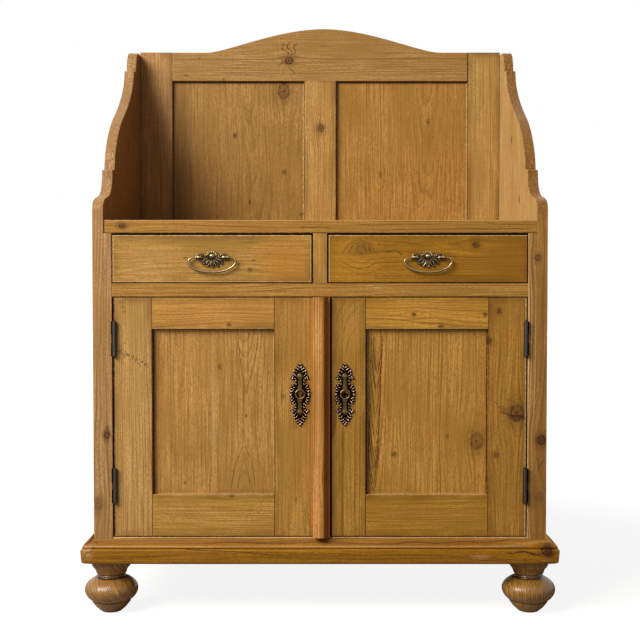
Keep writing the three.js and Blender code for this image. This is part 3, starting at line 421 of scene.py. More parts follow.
def pine(node, along, tone, pith, edges="", width=1.3, arris=1, joints=(), **looks):
    """A waxed frame board with the grain of its own pith and dark lines along some of its edges."""
    name = "waxed pine, " + node.replace("_", " ")
    dress(node, waxed_pine(name, along, "y", tone, pith, board=node, **looks,
            joints=edges_of(node, edges, width) + list(joints)), arris)


def bezier(start, first, second, end, steps=14):
    """Points of a curve that leaves start towards first and reaches end from second."""
    points = []
    for t in (i / steps for i in range(1, steps + 1)):
        u = 1 - t
        points.append(tuple(u ** 3 * a + 3 * u * u * t * b + 3 * u * t * t * c + t ** 3 * d
                            for a, b, c, d in zip(start, first, second, end)))
    return points


def arc(centre, radii, start, step, count):
    """Points round a centre, at angles in degrees from start by steps."""
    angles = [math.radians(start + step * i) for i in range(count)]
    return [(centre[0] + radii[0] * math.cos(a), centre[1] + radii[1] * math.sin(a))
            for a in angles]


def metres(x, y, z):
    """A place in mm, with y from the cupboard's front, as a place in the scene."""
    return x / 1000, (y - case_front) / 1000, z / 1000


def as_object(name, skin, *materials):
    """Turns a bmesh into an object whose faces look outwards."""
    bmesh.ops.recalc_face_normals(skin, faces=skin.faces)
    mesh = bpy.data.meshes.new(name)
    skin.to_mesh(mesh)
    skin.free()
    for material in materials:
        mesh.materials.append(material)
    return add_object(name, mesh)


def solid(name, points, faces, material):
    """An object of one material from points in mm and faces that name them by number."""
    skin = bmesh.new()
    corners = [skin.verts.new(metres(*point)) for point in points]
    for face in faces:
        skin.faces.new([corners[i] for i in face])
    return as_object(name, skin, material)


def mount(piece, body, slot, *replaced):
    """Puts a piece on the body it rides on and hides the frame nodes it stands for; slot, what it
    is made of, is not used.
    """
    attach(piece, body)
    if replaced:
        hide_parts(*replaced)


def sawn(name, outline, axis, start, end, material):
    """A board sawn to an outline in mm: (y, z) through x, or (x, z) through y."""
    points = [(w, u, v) if axis == "x" else (u, w, v) for w in (start, end) for u, v in outline]
    count = len(outline)
    faces = [tuple(range(count)), tuple(range(2 * count - 1, count - 1, -1))]
    faces += [(i, i + count, (i + 1) % count + count, (i + 1) % count) for i in range(count)]
    return solid(name, points, faces, material)


def shade_round(piece, angle):
    """Shades the curves of a piece smoothly, and leaves its edges over an angle sharp."""
    piece.data.shade_smooth()
    piece.data.set_sharp_from_angle(angle=math.radians(angle))


def round_over(board, width, segments=3, angle=38):
    """Rubs the arrises of a piece round, width mm wide, and shades its curves smoothly."""
    shade_round(board, angle)
    rub_arrises(board, width, segments, angle).harden_normals = True


def scroll(start, reach, drop, shares):
    """A sawn cyma that runs forward by reach and down by drop: a hollow, then a swelling."""
    y, z = start
    spots = [start] + [(y - reach * a, z - drop * b) for a, b in shares] + [(y - reach, z - drop)]
    return bezier(*spots[:4]) + bezier(*spots[3:])


shoulder = arc((450, 1204), (41, 53), 90, 7.5, 13)
upper_scroll = scroll((380, 1200), 250, 263,
                      [(0.01, 0.19), (0.32, 0.38), (0.61, 0.53), (0.8, 0.64), (0.98, 0.82)])
lower_scroll = scroll((106, 933), 106, 96,
                      [(0.02, 0.48), (0.25, 0.6), (0.58, 0.66), (0.86, 0.72), (1, 0.8)])
side_shape = [(0.05, 143.5), (490, 143.5), (490, 1257)] + shoulder + [(380, 1200)] + upper_scroll \
    + [(106, 933)] + lower_scroll[:-1] + [(0.05, 837)]
for hand, body_x in (("left", (-470, -447)), ("right", (447, 470))):
    if hand == "left":
        wood = waxed_pine("waxed pine, left side board", "z", "y", "#ae8656", (-520, 90, 640),
            gap=3.9, tilt=0.03, contrast=0.8, knots=[(-441.5, 374.5, 5.4, 1, 0),
                (-462, 232, 9, 0.4, 0), (-447, 1010, 8, 0.7, 300)],
            curls=[(-446, 392, -438, 386, 2, 1, 1, 0.6), (-440, 300, -438, 262, 1.5, 1.5, 1, 0.6)],
            worn=[("x", -470, 1.6)], joints=[("x", -429.5, 1.3)],
            # painted shade: the left side's inner face above the counter is darkened
            painted_inner_shading=("x", -450, -447.4, (0.69, 0.6, 0.5), 819), sawn_edge=(0.8, 0.8, 0.8))
    else:
        wood = waxed_pine("waxed pine, right side board", "z", "y", "#a77a3f", (545, 230, 700),
            gap=4, tilt=-0.04, contrast=0.9, knots=[(459, 364, 7.4, 1, 0), (449, 741, 5, 0.8, 0),
                (447, 1024, 4.5, 0.9, 300), (447, 877, 4.5, 0.9, 200), (456, 245, 7, 0.4, 0)],
            marks=[(460, 363, 6.5, 8, 0.6), (433, 420, 1.5, 600, -0.9), (438, 400, 0.9, 600, -0.5),
                (446, 500, 1.2, 260, -0.35), (458, 560, 4, 120, 0.3), (461, 250, 4, 110, 0.3),
                (462, 660, 3, 60, 0.3)], curls=[(452, 500, 449, 420, 1.4, 2, 1, 0.5),
                (466, 340, 456, 300, 1.5, 1, 1.2, 0.5), (452, 330, 458, 296, 1.2, 1, 1, 0.5)],
            worn=[("x", 470, 1.4), ("x", 430.6, 1.2)],
            # painted light: the right side's inner face above the counter is lightened
            painted_inner_shading=("x", 449.5, 447.4, (1.4, 1.7, 2.55), 819), sawn_edge=(0.58, 0.5, 0.42))
    board = sawn(f"shaped_side_{hand}", side_shape, "x", *body_x, wood)
    round_over(board, 0.8)
    mount(board, "carcass", "waxed_pine", f"side_{hand}")
    dress(f"front_stile_{hand}", wood, 0)

pine("drawer_divider", "z", "#ce9b51", (-60, 30, 740), "x- x+", 0.8, arris=0.8, gap=3.1)
pine("drawer_bed", "x", "#b3843f", (640, 55, -100), "z-", 1, arris=0.8, gap=3.7, tilt=0.02,
    marks=[(684, 105, 0.7, 9, -0.7), (679, 118, 0.7, 12, -0.6), (672, -260, 0.8, 22, 0.4)])
pine("bottom_board", "x", "#c79a5c", (120, 40, 0), arris=1.2, gap=3.7, contrast=0.45,
    worn=edges_of("bottom_board", "z+", 1.5))
dress("cupboard_shelf", raw_pine("shelf", "x", "z", "#cfa878", (300, 460, 0), 4.3, 0.72), 0.8)

# Counter: one wide pine board housed in the sides; its front arris is rubbed round by hands and
# cloths, and its left corner is the most worn.

wood = waxed_pine("waxed pine, counter", "x", "y", "#b3823c", (852, 60, -150), gap=3.4, tilt=0.012,
    contrast=1.1, knots=[(806.7, -408, 4.6, 1, 0), (819, 210, 12, 0.9, 200),
        (819, -250, 9, 0.8, 330)], curls=[(806, -48, 803, 26, 1, 1, 1.3, 0.8),
        (811, 60, 809, 250, 1.2, 1, 1.1, 0.7), (799, 100, 801, 330, 1, 2, 1.1, 0.6),
        (808, -330, 806, -120, 1, 1.5, 1, 0.5), (803, 300, 799, 440, 1.2, 1, 1.2, 0.7),
        (813, 340, 808, 446, 1, 1, 1.2, 0.6)], marks=[(794, -445, 3.4, 3.6, 0.95),
        (817.4, -445.4, 2.8, 3.2, 0.95)], worn=[("z", 819, 1.6)],
    joints=[("z", 792, 1.6), ("x", -446.4, 2.2)])
dress("worktop", wood, 2)

# Gallery back: a mortised frame of stiles, muntin and an arched crest rail round two flat panels
# held loose in grooves. Soot and wax lie in the corners of the panels.

crest_left = bezier((-282, 1264), (-232.7, 1264), (-108, 1322), (8, 1322), 24)
crest_right = bezier((8, 1322), (124, 1322), (248.7, 1264), (298, 1264), 24)
crest_shape = [(-366.9, 1193.6), (366.9, 1193.6), (366.9, 1264)] \
    + crest_right[::-1] + crest_left[::-1] + [(-282, 1264), (-366.9, 1264)]
wood = waxed_pine("waxed pine, crest rail", "x", "y", "#ad854b", (1120, 530, 40), gap=4, tilt=0.03,
    bow=0.00009, wander=22, knots=[(1244, -77, 8, 1)],
    curls=[(1247, -80, 1284, -96, 4.6, 1.3, 2.2, 1), (1247, -74, 1288, -78, 4.8, 1.2, 2.2, 1),
        (1250, -68, 1284, -56, 4.4, 1.1, 2, 0.9), (1238, -76, 1214, -62, 1.5, 1, 1.8, 0.8),
        (1243, -90, 1238, -106, 1, 1, 1.4, 0.5), (1258, -100, 1280, -108, -3, 0.6, 1.4, 0.5)],
    marks=[(1250, -299, 1.6, 3, 0.9), (1208, -333, 2.2, 7, 0.8), (1199, -240, 2, 4, 0.7),
        (1295, 183, 1.6, 4, 0.8), (1277, 6, 1.2, 9, 0.5), (1215, 250, 1.5, 30, 0.3)],
    worn=[("x", -367, 1.6), ("z", 1193.6, 1.2)], joints=[("x", 367, 1.4)], face=469)
crest = sawn("arched_crest", crest_shape, "y", 469.1, 489.9, wood)
round_over(crest, 1.6)
mount(crest, "carcass", "waxed_pine", "crest_rail")
pine("back_stile_left", "z", "#bc8e57", (-300, 520, 1000), "x+ x-", 1.2, arris=0.4, gap=3.1,
    face=469)
pine("back_stile_right", "z", "#be9757", (520, 520, 1000), "x- x+", 1.2, arris=0.4, gap=3.1,
    tilt=0.02, face=469)
pine("back_muntin", "z", "#be9352", (-70, 540, 1000), "x- x+", 1.8, gap=3.4, tilt=0.03, wander=20,
    knots=[(2.5, 1077, 7, 0.9)], face=469)
pine("back_panel_left", "z", "#a77d40", (-165, 520, 1080), arris=0.5,
    joints=[("z", 1193.5, 5), ("x", -367, 2)], gap=4.1, tilt=0.035, wander=26, contrast=0.55,
    knots=[(-90, 1170, 14, 0.75), (-90, 969, 4, 0.6), (-206, 1058.6, 3.4, 0.9)],
    marks=[(-172.7, 894, 3, 7, 0.8), (-252.9, 857, 3, 6, 0.6), (-50, 864, 3, 6, 0.7),
        # the broad dark mark near the left stile, in #523417, is the painted shadow of the left
        # side board
        (-320, 969, 1.4, 42, 0.6), (-342, 1000, 26, 240, 0.42, "#523417")],
    worn=[("x", -41.5, 1.8)], face=477)
pine("back_panel_right", "z", "#b18440", (271, 520, 1130), arris=0.5,
    joints=[("z", 1193.5, 5), ("x", 40.5, 2)], gap=4.6, tilt=0.05, wander=18, contrast=0.6,
    knots=[(270, 1093, 3, 0.7), (150, 964, 3, 0.5)], worn=[("x", 366, 1.6)], face=477)
wood = raw_pine("lower back boards", "z", "y", "#cda774", (-200, 560, 500), 5,
    knots=[(-330, 640, 9, 0.8), (60, 300, 11, 0.8), (250, 520, 6, 0.8)],
    joints=[("x", x, 1.2) for x in (-298, -142, 10, 168, 310)], face=490)
dress("lower_back", wood, 0.5)

# Base: three mitred members with an ogee, a bead and a flat face, worked with moulding planes and
# glued on round the foot of the case. Knocks have rounded the mitres.

foot_top = 110


def moulding_section(height):
    """Outline of a base member: how far it stands out of the case, and how high above its foot."""
    drop = height - 38
    start = (2, height)
    ogee = bezier(start, (4.4, height - 0.5 * drop), (12.8, height - 0.72 * drop), (17, 36.5), 12)
    bead = arc((18.5, 35), (3, 3), 120, -20, 11)
    foot = arc((19, 6), (6, 6), 0, -15, 7)
    return [(-65, 0), (-65, 33.5), (0.1, 33.5), (0.1, height), start] + ogee + bead + [
        (24, 30), (25, 28.5), (25, 27)] + foot


def base_member(name, ends, height, material, replaced):
    """A member between cut planes: an end gives, for a point of the section, its x and y there,
    and how much the corner is worn."""
    section = moulding_section(height)
    count = len(section)
    points = []
    for end, worn_off in ends:
        for out, up in section:
            x, y = end(out - worn_off * max(0, out / 25) * (1 + (up < 8) + (up < 3)))
            points.append((x, y, foot_top + up))
    last = (len(ends) - 1) * count
    faces = [tuple(range(count)), tuple(range(last + count - 1, last - 1, -1))]
    faces += [(row + i, row + i + count, row + (i + 1) % count + count, row + (i + 1) % count)
              for row in range(0, last, count) for i in range(count)]
    member = solid(name, points, faces, material)
    round_over(member, 0.8, 2, 30)
    mount(member, "carcass", "waxed_pine", replaced)


wood = waxed_pine("waxed pine, front base moulding", "x", "y", "#9d6a16", (70, 30, 60), gap=3.4,
    tilt=-0.03, wander=20, contrast=0.8, knots=[(139, 466, 8, 1)],
    marks=[(146, -420, 2, 260, -0.3), (146, 60, 2, 330, -0.26), (146, 420, 2, 120, -0.15),
        (134, -480, 14, 12, -0.3), (127, 330, 5, 22, -0.22), (138, 472, 7, 10, 0.85),
        (153, 0, 6, 900, 0.34, "#6b4c34")], curls=[(145, -310, 127, -40, 1.2, 1.5, 1.3, 0.85),
        (136, 378, 137, 458, 1.4, 1.5, 1.6, 0.95), (130, -20, 121, 250, 1.2, 2, 1.1, 0.6),
        (139, -200, 129, 120, 1.5, 1, 1, 0.5), (133, 120, 124, 400, 1, 2, 1.1, 0.5),
        (123, -440, 131, -250, 1, 1, 1.1, 0.6), (156, -470, 150, -460, 1, 1, 1.4, 0.7),
        (147, -462, 124, -490, 2, 2, 1.6, 0.7), (128, 410, 120, 492, 2, 2, 1.6, 0.7),
        (151, -300, 152, 40, 1, 2, 1.2, 0.6), (151, 120, 153, 420, 1.2, 3, 1.4, 0.6)],
    # the dark line at z 142.2, under the bead, is painted shade
    worn=[("z", 146, 2), ("x", -495, 2.2)], joints=[("z", 142.2, 1.6)], face=-25)
base_member("moulded_base_front", [(lambda out: (-470 - out, -out), 1.6),
        (lambda out: (-452 - out, -out), 0.5), (lambda out: (-420, -out), 0),
        (lambda out: (420, -out), 0), (lambda out: (452 + out, -out), 0.5),
        (lambda out: (470 + out, -out), 1.6)], 48, wood, "plinth_front")
for hand, sign, tone in (("left", -1, "#ab7c48"), ("right", 1, "#a0743c")):
    wood = waxed_pine(f"waxed pine, {hand} base moulding", "y", "x", tone, (90, sign * 420, 200),
        gap=3.4, tilt=0.02, contrast=0.9, knots=[(140, 260, 8, 0.9)])
    base_member(f"moulded_base_{hand}", [
        (lambda out, s=sign: (s * (470 + out), -out), 1.6),
        (lambda out, s=sign: (s * (470 + out), 18 - out), 0.5),
        (lambda out, s=sign: (s * (470 + out), 60), 0),
        (lambda out, s=sign: (s * (470 + out), 490), 0)], 57, wood, f"plinth_{hand}")

# Feet: four turned pine buns with a groove, a neck and a flared collar, tenoned up into the base.
# Year rings cut through by the turning show as slanting stripes.


def turned(name, profile, centre, material, steps=56):
    """A piece turned on a lathe: profile of (radius, height) in mm round an upright centre line."""
    points = [(x, y, height) for radius, height in profile
              for x, y in arc(centre, (radius, radius), 0, 360 / steps, steps)]
    last = (len(profile) - 1) * steps
    faces = [(row + i, row + (i + 1) % steps, row + steps + (i + 1) % steps, row + steps + i)
             for row in range(0, last, steps) for i in range(steps)]
    faces += [tuple(reversed(range(steps))), tuple(range(last, last + steps))]
    piece = solid(name, points, faces, material)
    shade_round(piece, 34)
    return piece


def bun_radius(height):
    """Radius of the bun: a flattened ball, its widest at 47 mm."""
    rise = 34 if height < 47 else 30.6
    return 55.5 * math.sqrt(1 - ((height - 47) / rise) ** 2)


bun = [(bun_radius(h), h) for h in [26 + 46 * i / 26 for i in range(27)]]
foot_shape = [(0.5, 0), (20, 0), (21.4, 0.6), (26, 4.5), (31, 9), (35.6, 14.6), (39.4, 19.6),
    (40.6, 22.4), (40.6, 24.2), (42, 25)] + bun + [(30.5, 72.6), (29, 73.2), (28.4, 74.4),
    (29.6, 75.8), (29.9, 77.2), (29.2, 78.6), (28.8, 79.4), (30.8, 80.6), (31.9, 82.2),
    (32.3, 84.5), (33.8, 88), (36, 91.4), (38.4, 94.2), (40.2, 96.8), (41, 100), (41, 109.9)]
feet = {"front_left": (-439.5, 30.5, "#a3763f"), "front_right": (439.5, 30.5, "#a27637"),
        "rear_left": (-439.5, 434.5, "#a67840"), "rear_right": (439.5, 434.5, "#a67840")}
for place, (x, y, tone) in feet.items():
    gap, lean, contrast = (5.6, -0.7, 3.6) if x < 0 else (4.2, -0.12, 2.8)
    wood = waxed_pine(f"waxed pine, {place.replace('_', ' ')} foot", "z", "y", tone,
        (x + math.copysign(230, x), y - 40, 50), gap=gap, tilt=0.1, lean=lean, wander=10,
        contrast=contrast, face=None, gloss=0.3, shine=0.5,
        # dark lines along the groove and round the neck of each foot
        joints=[("z", 24.4, 1.6), ("z", 73.6, 2.2), ("z", 79.4, 1.4)])
    foot = turned(f"bun_{place}", foot_shape, (x, y), wood)
    mount(foot, "carcass", "waxed_pine", f"foot_{place}")

# Doors: each a frame of two stiles and two rails, mortised and pegged, round a flat panel in a
# groove. The left door carries a moulding along its meeting edge.

pine("left_door_outer_stile", "z", "#c19658", (-330, 55, 420), "z+ z-", 1.1,
    joints=[("x", -427, 2.4), ("x", -347.5, 1.2)], gap=3.4, tilt=0.02, wander=14,
    marks=[(-413, 650, 6, 4, 0.35), (-408, 640, 6, 3, 0.3), (-404, 630, 5, 3, 0.3)],
    curls=[(-420, 552, -354, 516, 0, 0, 8, 0.9)])
pine("left_door_top_rail", "x", "#c49047", (560, 50, -200), "z+", 1.1, gap=3.7, tilt=0.03,
    knots=[(603.6, -188, 2.6, 0.8)], worn=[("z", 595, 1.1)])
pine("left_door_bottom_rail", "x", "#bb8d42", (330, 60, -200), "z-", 1.1, gap=2.6, tilt=0.015,
    wander=9, knots=[(248.4, -183, 3.4, 0.8)], worn=[("z", 250.5, 1.2)])
pine("left_door_panel", "z", "#b98a49", (-157, 52, 410), arris=0.5,
    joints=[("x", -347.5, 3), ("z", 595, 2.4)], gap=4.5, bow=0.0006, wander=11, contrast=0.62,
    knots=[(-208.6, 515, 2.6, 0.6)], curls=[(-155, 464, -170, 585, 3, 0.5, 1.2, 0.7),
        (-155, 464, -128, 592, -5, 0.5, 1.2, 0.7), (-158, 355, -186, 256, -5, 0.5, 1.2, 0.7),
        (-158, 355, -135, 262, 5, 0.5, 1.2, 0.7), (-158, 322, -172, 254, -3, 0.5, 1.1, 0.5),
        (-158, 322, -146, 256, 3, 0.5, 1.1, 0.5)], marks=[(-154, 413, 2, 5, 0.8),
        (-281, 273, 2.4, 3.4, 0.7), (-222, 420, 6, 150, -0.22)],
    worn=[("x", -95, 2), ("z", 250.5, 2)], face=10)
pine("left_door_lock_stile", "z", "#b6873f", (-250, 70, 420), "z+ z-", 1.1,
    joints=[("x", -95, 1.2)], gap=2.7, tilt=0.01, wander=8, contrast=1,
    # the dark mark under the sham keyhole, at -41.3, 459, is painted shade that makes the hole read
    # deep
    knots=[(-76.6, 455.5, 3, 0.7)], marks=[(-50, 239, 1.6, 8, 0.7), (-41.3, 459, 9, 13, 0.75),
        (-52, 400, 12, 16, 0.25)])
pine("right_door_lock_stile", "z", "#b08236", (20, 64, 560), "x- z+ z-", 1.3,
    joints=[("x", 95, 1.6)], gap=4.6, wander=14, contrast=1.3,
    curls=[(36, 609, 57, 657, 5, 0.5, 1.2, 0.5), (48, 581, 84, 643, 9, 0.5, 1.2, 0.6),
        (53, 536, 84, 609, 8, 0.5, 1.1, 0.45), (44, 600, 74, 655, 7, 0.5, 1, 0.35),
        (88, 560, 80, 300, 2, 0.5, 0.9, 0.4), (80, 540, 72, 200, 2, 0.5, 0.9, 0.35)],
    marks=[(46, 361, 1.2, 26, 0.8), (60, 594, 30, 60, 0.27, "#d6a052")])
pine("right_door_top_rail", "x", "#c08d39", (585, 52, 240), "z+", 1.1, gap=4, tilt=-0.03,
    knots=[(624.3, 194.2, 2.8, 0.9), (624.3, 341, 2.6, 0.9), (600.5, 250, 3.4, 0.8)],
    worn=[("z", 595, 1.2)])
pine("right_door_bottom_rail", "x", "#b58430", (340, 60, 200), "z-", 1.1, gap=2.9, tilt=0.02,
    wander=9, contrast=1.3, worn=[("z", 250.5, 1.2)])
fishbone = [(x, z - 12, x + side * out, z + rise, -side * 3, 0.5, 1.3, 0.95)
            for x, z, out, rise in (
                (122, 510, 8, 76), (121, 468, 12, 118), (119, 420, 12, 130), (118, 372, 12, 120),
                (117, 334, 12, 120), (116, 304, 11, 110), (115, 280, 11, 100),
                (115, 262, 11, 90))
            for side in (-1, 1)]
pine("right_door_panel", "z", "#bc8b3f", (119, 18, 600), arris=0.5,
    joints=[("x", 347.5, 2.4), ("x", 95, 3), ("z", 595, 2.4)], gap=3.9, tilt=0.056, wander=5,
    contrast=0.9, curls=fishbone, knots=[(326, 360.5, 13, 0.62), (158, 333, 3.4, 0.8),
        (273, 371, 2.4, 0.5)], worn=[("z", 250.5, 2)], face=10)
pine("right_door_outer_stile", "z", "#af7f35", (330, 55, 420), "z+ z-", 1.1,
    joints=[("x", 347.5, 1.2)], gap=3.4, tilt=-0.03, wander=16,
    knots=[(369.7, 631.5, 4, 0.8), (351.4, 569.5, 4, 0.8), (407, 420, 13, 0.8),
        (371, 333, 4.6, 0.7)], marks=[(412, 412, 13, 6, 0.75), (392, 428, 9, 5, 0.4)],
    curls=[(368, 441, 392, 430, 3, 1.4, 1, 0.8), (382, 423, 426, 407, 1, 1, 3, 0.8),
        (368, 448, 372, 424, 2, 1, 1, 0.6)], worn=[("x", 425.8, 1.8)])
pine("meeting_moulding", "z", "#d1934e", (-50, 10, 420), arris=1.2, gap=3.7, tilt=0.015, wander=8,
    # the dark mark down the right flank of the moulding, in #935107, is painted shade
    contrast=0.75, knots=[(12.3, 288.5, 3.6, 0.8)], marks=[(16.5, 420, 9.5, 1200, 0.9, "#935107"),
        (-3, 420, 1, 900, -0.5)], worn=[("x", -14.3, 1.6)], face=-20)

# Drawers: fronts dovetailed to thin sides, bottoms slid into grooves. Only the fronts were waxed;
# the sides, backs and bottoms are bare pine, gone tan.

pine("left_drawer_front", "x", "#b68a45", (700, 60, -230), "x+ z-", 1.3, arris=1.2, gap=3.4,
    bow=-0.0002, wander=16, contrast=0.6, knots=[(716, -144, 2.6, 0.7)],
    marks=[(735, -136, 2, 5, 0.95), (741, -278.5, 1.8, 4.5, 0.9), (772, -150, 1, 30, 0.5),
        (764, -260, 0.9, 40, 0.45), (735, -70, 60, 60, 0.35, "#b87408"),
        (735, -360, 50, 80, 0.12, "#d0a468")], worn=[("z", 787.6, 1.9), ("x", -427.6, 1.6),
        ("x", -18.9, 1), ("z", 692, 0.7)])
pine("right_drawer_front", "x", "#a6741d", (765, 42, 90), "x- x+ z-", 1.3, arris=1.2, gap=4,
    tilt=0.01, wander=20, contrast=0.9, marks=[(735, 60, 50, 60, 0.3, "#cc9638"),
        (735, 380, 50, 60, 0.45, "#8a5a1c")], curls=[(759, 134, 752, 176, 2.6, 1.5, 1.1, 0.9),
        (753, 247, 741, 286, 2, 1, 1, 0.7), (748, 38, 748, 124, -22, 0.5, 1.1, 0.65),
        (745, 38, 744, 126, 20, 0.5, 1.1, 0.75), (753, 54, 752, 112, -13, 0.5, 1, 0.6),
        (750, 52, 750, 114, 12, 0.5, 1, 0.65), (742, 26, 738, 150, 26, 0.5, 1, 0.5),
        (766, 130, 772, 210, 2, 1.5, 0.9, 0.5), (716, 60, 706, 200, 3, 1, 0.9, 0.4),
        (712, 240, 704, 400, 2, 1, 0.9, 0.4)], knots=[(759, 84.5, 8, 1), (767.6, 321.7, 5.5, 0.9)],
    worn=[("z", 787.6, 1.6), ("x", 19, 1)])
for hand in ("left", "right"):
    wood = raw_pine(f"{hand} drawer sides", "y", "x", "#caa26c", (700, 560, 200), 3.7)
    for part in ("side_left", "side_right"):
        dress(f"{hand}_drawer_{part}", wood, 0.4)
    wood = raw_pine(f"{hand} drawer back", "x", "y", "#c59d68", (700, 560, 0), 3.7)
    dress(f"{hand}_drawer_back", wood, 0.4)
    wood = raw_pine(f"{hand} drawer bottom", "x", "z", "#cdaa78", (100, 640, 0), 5)
    dress(f"{hand}_drawer_bottom", wood, 0.4)

# Drawer pulls: a cast brass shell of hollow petals under a domed boss, between two ears, held by
# two posts screwed through the front, in which the bail swings. Casting and bail are brown with
# age in the hollows and rubbed bright on the high places.


def old_brass(name, hollow, proud, bright, dull):
    """Half matt brass or iron with a patina: dull in the hollows, at y hollow, and rubbed bright on
    the high places, at y proud. Faces that look down are darkened as painted shade."""
    material = bpy.data.materials.new(name)
    add = blank(material)
    where = add("TexCoord").outputs
    height = add("MapRange", add("SeparateXYZ", where["Object"]).outputs[1],
                 (hollow - case_front) / 1000, (proud - case_front) / 1000)
    mottle = add("TexNoise", where["Object"], 520, 3)
    rub_and_underside_shade = add("MapRange", add("*+", mottle, 0.9, height), 0.62, 1.36)
    # Painted shade: faces that look downwards are pulled towards the dull colour.
    facing = add("SeparateXYZ", where["Normal"]).outputs[2]
    rub_and_underside_shade = add("*", rub_and_underside_shade, add("MapRange", facing, 0.05, -0.6, 1, 0.12))
    add("OutputMaterial", add("BsdfPrincipled", named={
        "Base Color": add("Mix RGBA", rub_and_underside_shade, linear(dull), linear(bright)), "Metallic": 1,
        "Roughness": add("MapRange", rub_and_underside_shade, 0, 1, 0.5, 0.32),
        "Normal": add("Bump", named={"Strength": 0.25, "Distance": 0.0002, "Height": mottle})}))
    return material


def swell(metal, spots, radii, sides=8, closed=False, flat=1, up=(0, 1, 0), part=0):
    """Adds a rod of changing radius along spots (x, y, z in mm) to a casting; flat squeezes it
    towards the wood, and part is the number of its material."""
    spots = [Vector(spot) for spot in spots]
    count = len(spots)
    if not hasattr(radii, "__len__"):
        radii = [radii] * count
    rows = []
    for i, spot in enumerate(spots):
        before = spots[i - 1] if i or closed else spots[i]
        after = spots[(i + 1) % count] if i < count - 1 or closed else spots[i]
        along = (after - before).normalized()
        side = along.cross(Vector(up)).normalized()
        top = side.cross(along)
        row = []
        for c, s in arc((0, 0), (1, 1), 0, 360 / sides, sides):
            off = side * c + top * s
            off.y *= flat
            row.append(metal.verts.new(metres(*(spot + off * radii[i]))))
        rows.append(row)
    faces = [] if closed else [metal.faces.new(rows[0][::-1]), metal.faces.new(rows[-1])]
    for one, two in list(zip(rows, rows[1:])) + ([(rows[-1], rows[0])] if closed else []):
        for k in range(sides):
            following = (k + 1) % sides
            faces.append(metal.faces.new((one[k], one[following], two[following], two[k])))
    for face in faces:
        face.material_index = part


def leaf(metal, x, z, angle, length, width, y, rise=0.6):
    """Adds a small raised leaf, its middle at x, z, pointing at an angle in degrees."""
    a = math.radians(angle)
    spots = [(x + length * t * math.cos(a), y - rise * (1 - 4 * t * t),
              z + length * t * math.sin(a)) for t in (-0.5, -0.3, 0, 0.3, 0.5)]
    swell(metal, spots, [width * share / 2 for share in (0.2, 0.75, 1, 0.7, 0.15)], flat=0.8)


def sheet_casting(metal, rim, back, face, hole=None):
    """Adds a flat plate with a rim of (x, z) points, pierced by a hole, from y back to y face."""
    loops = []
    for ring in (rim, hole):
        if ring:
            verts = [metal.verts.new(metres(x, back, z)) for x, z in ring]
            loops += [metal.edges.new((a, b)) for a, b in zip(verts, verts[1:] + verts[:1])]
    filled = bmesh.ops.triangle_fill(metal, edges=loops, use_beauty=True)
    flats = [g for g in filled["geom"] if isinstance(g, bmesh.types.BMFace)]
    grown = bmesh.ops.extrude_face_region(metal, geom=flats)
    for vert in (g for g in grown["geom"] if isinstance(g, bmesh.types.BMVert)):
        vert.co.y = (face - case_front) / 1000


def cast(name, metal, materials, body, replaced):
    """Turns a casting into a piece that rides on a body and stands for a frame node."""
    piece = as_object(name, metal, *materials)
    shade_round(piece, 50)
    mount(piece, body, "aged_brass", replaced)


def smooth_run(spots, steps=6):
    """Points of a smooth curve through the given spots."""
    padded = [spots[0]] + list(spots) + [spots[-1]]
    run = []
    for a, b, c, d in zip(padded, padded[1:], padded[2:], padded[3:]):
        for t in (i / steps for i in range(steps)):
            run.append(tuple(0.5 * (2 * q + (r - p) * t + (2 * p - 5 * q + 4 * r - w) * t * t
                                    + (3 * q - p - 3 * r + w) * t ** 3)
                             for p, q, r, w in zip(a, b, c, d)))
    return run + [tuple(spots[-1])]


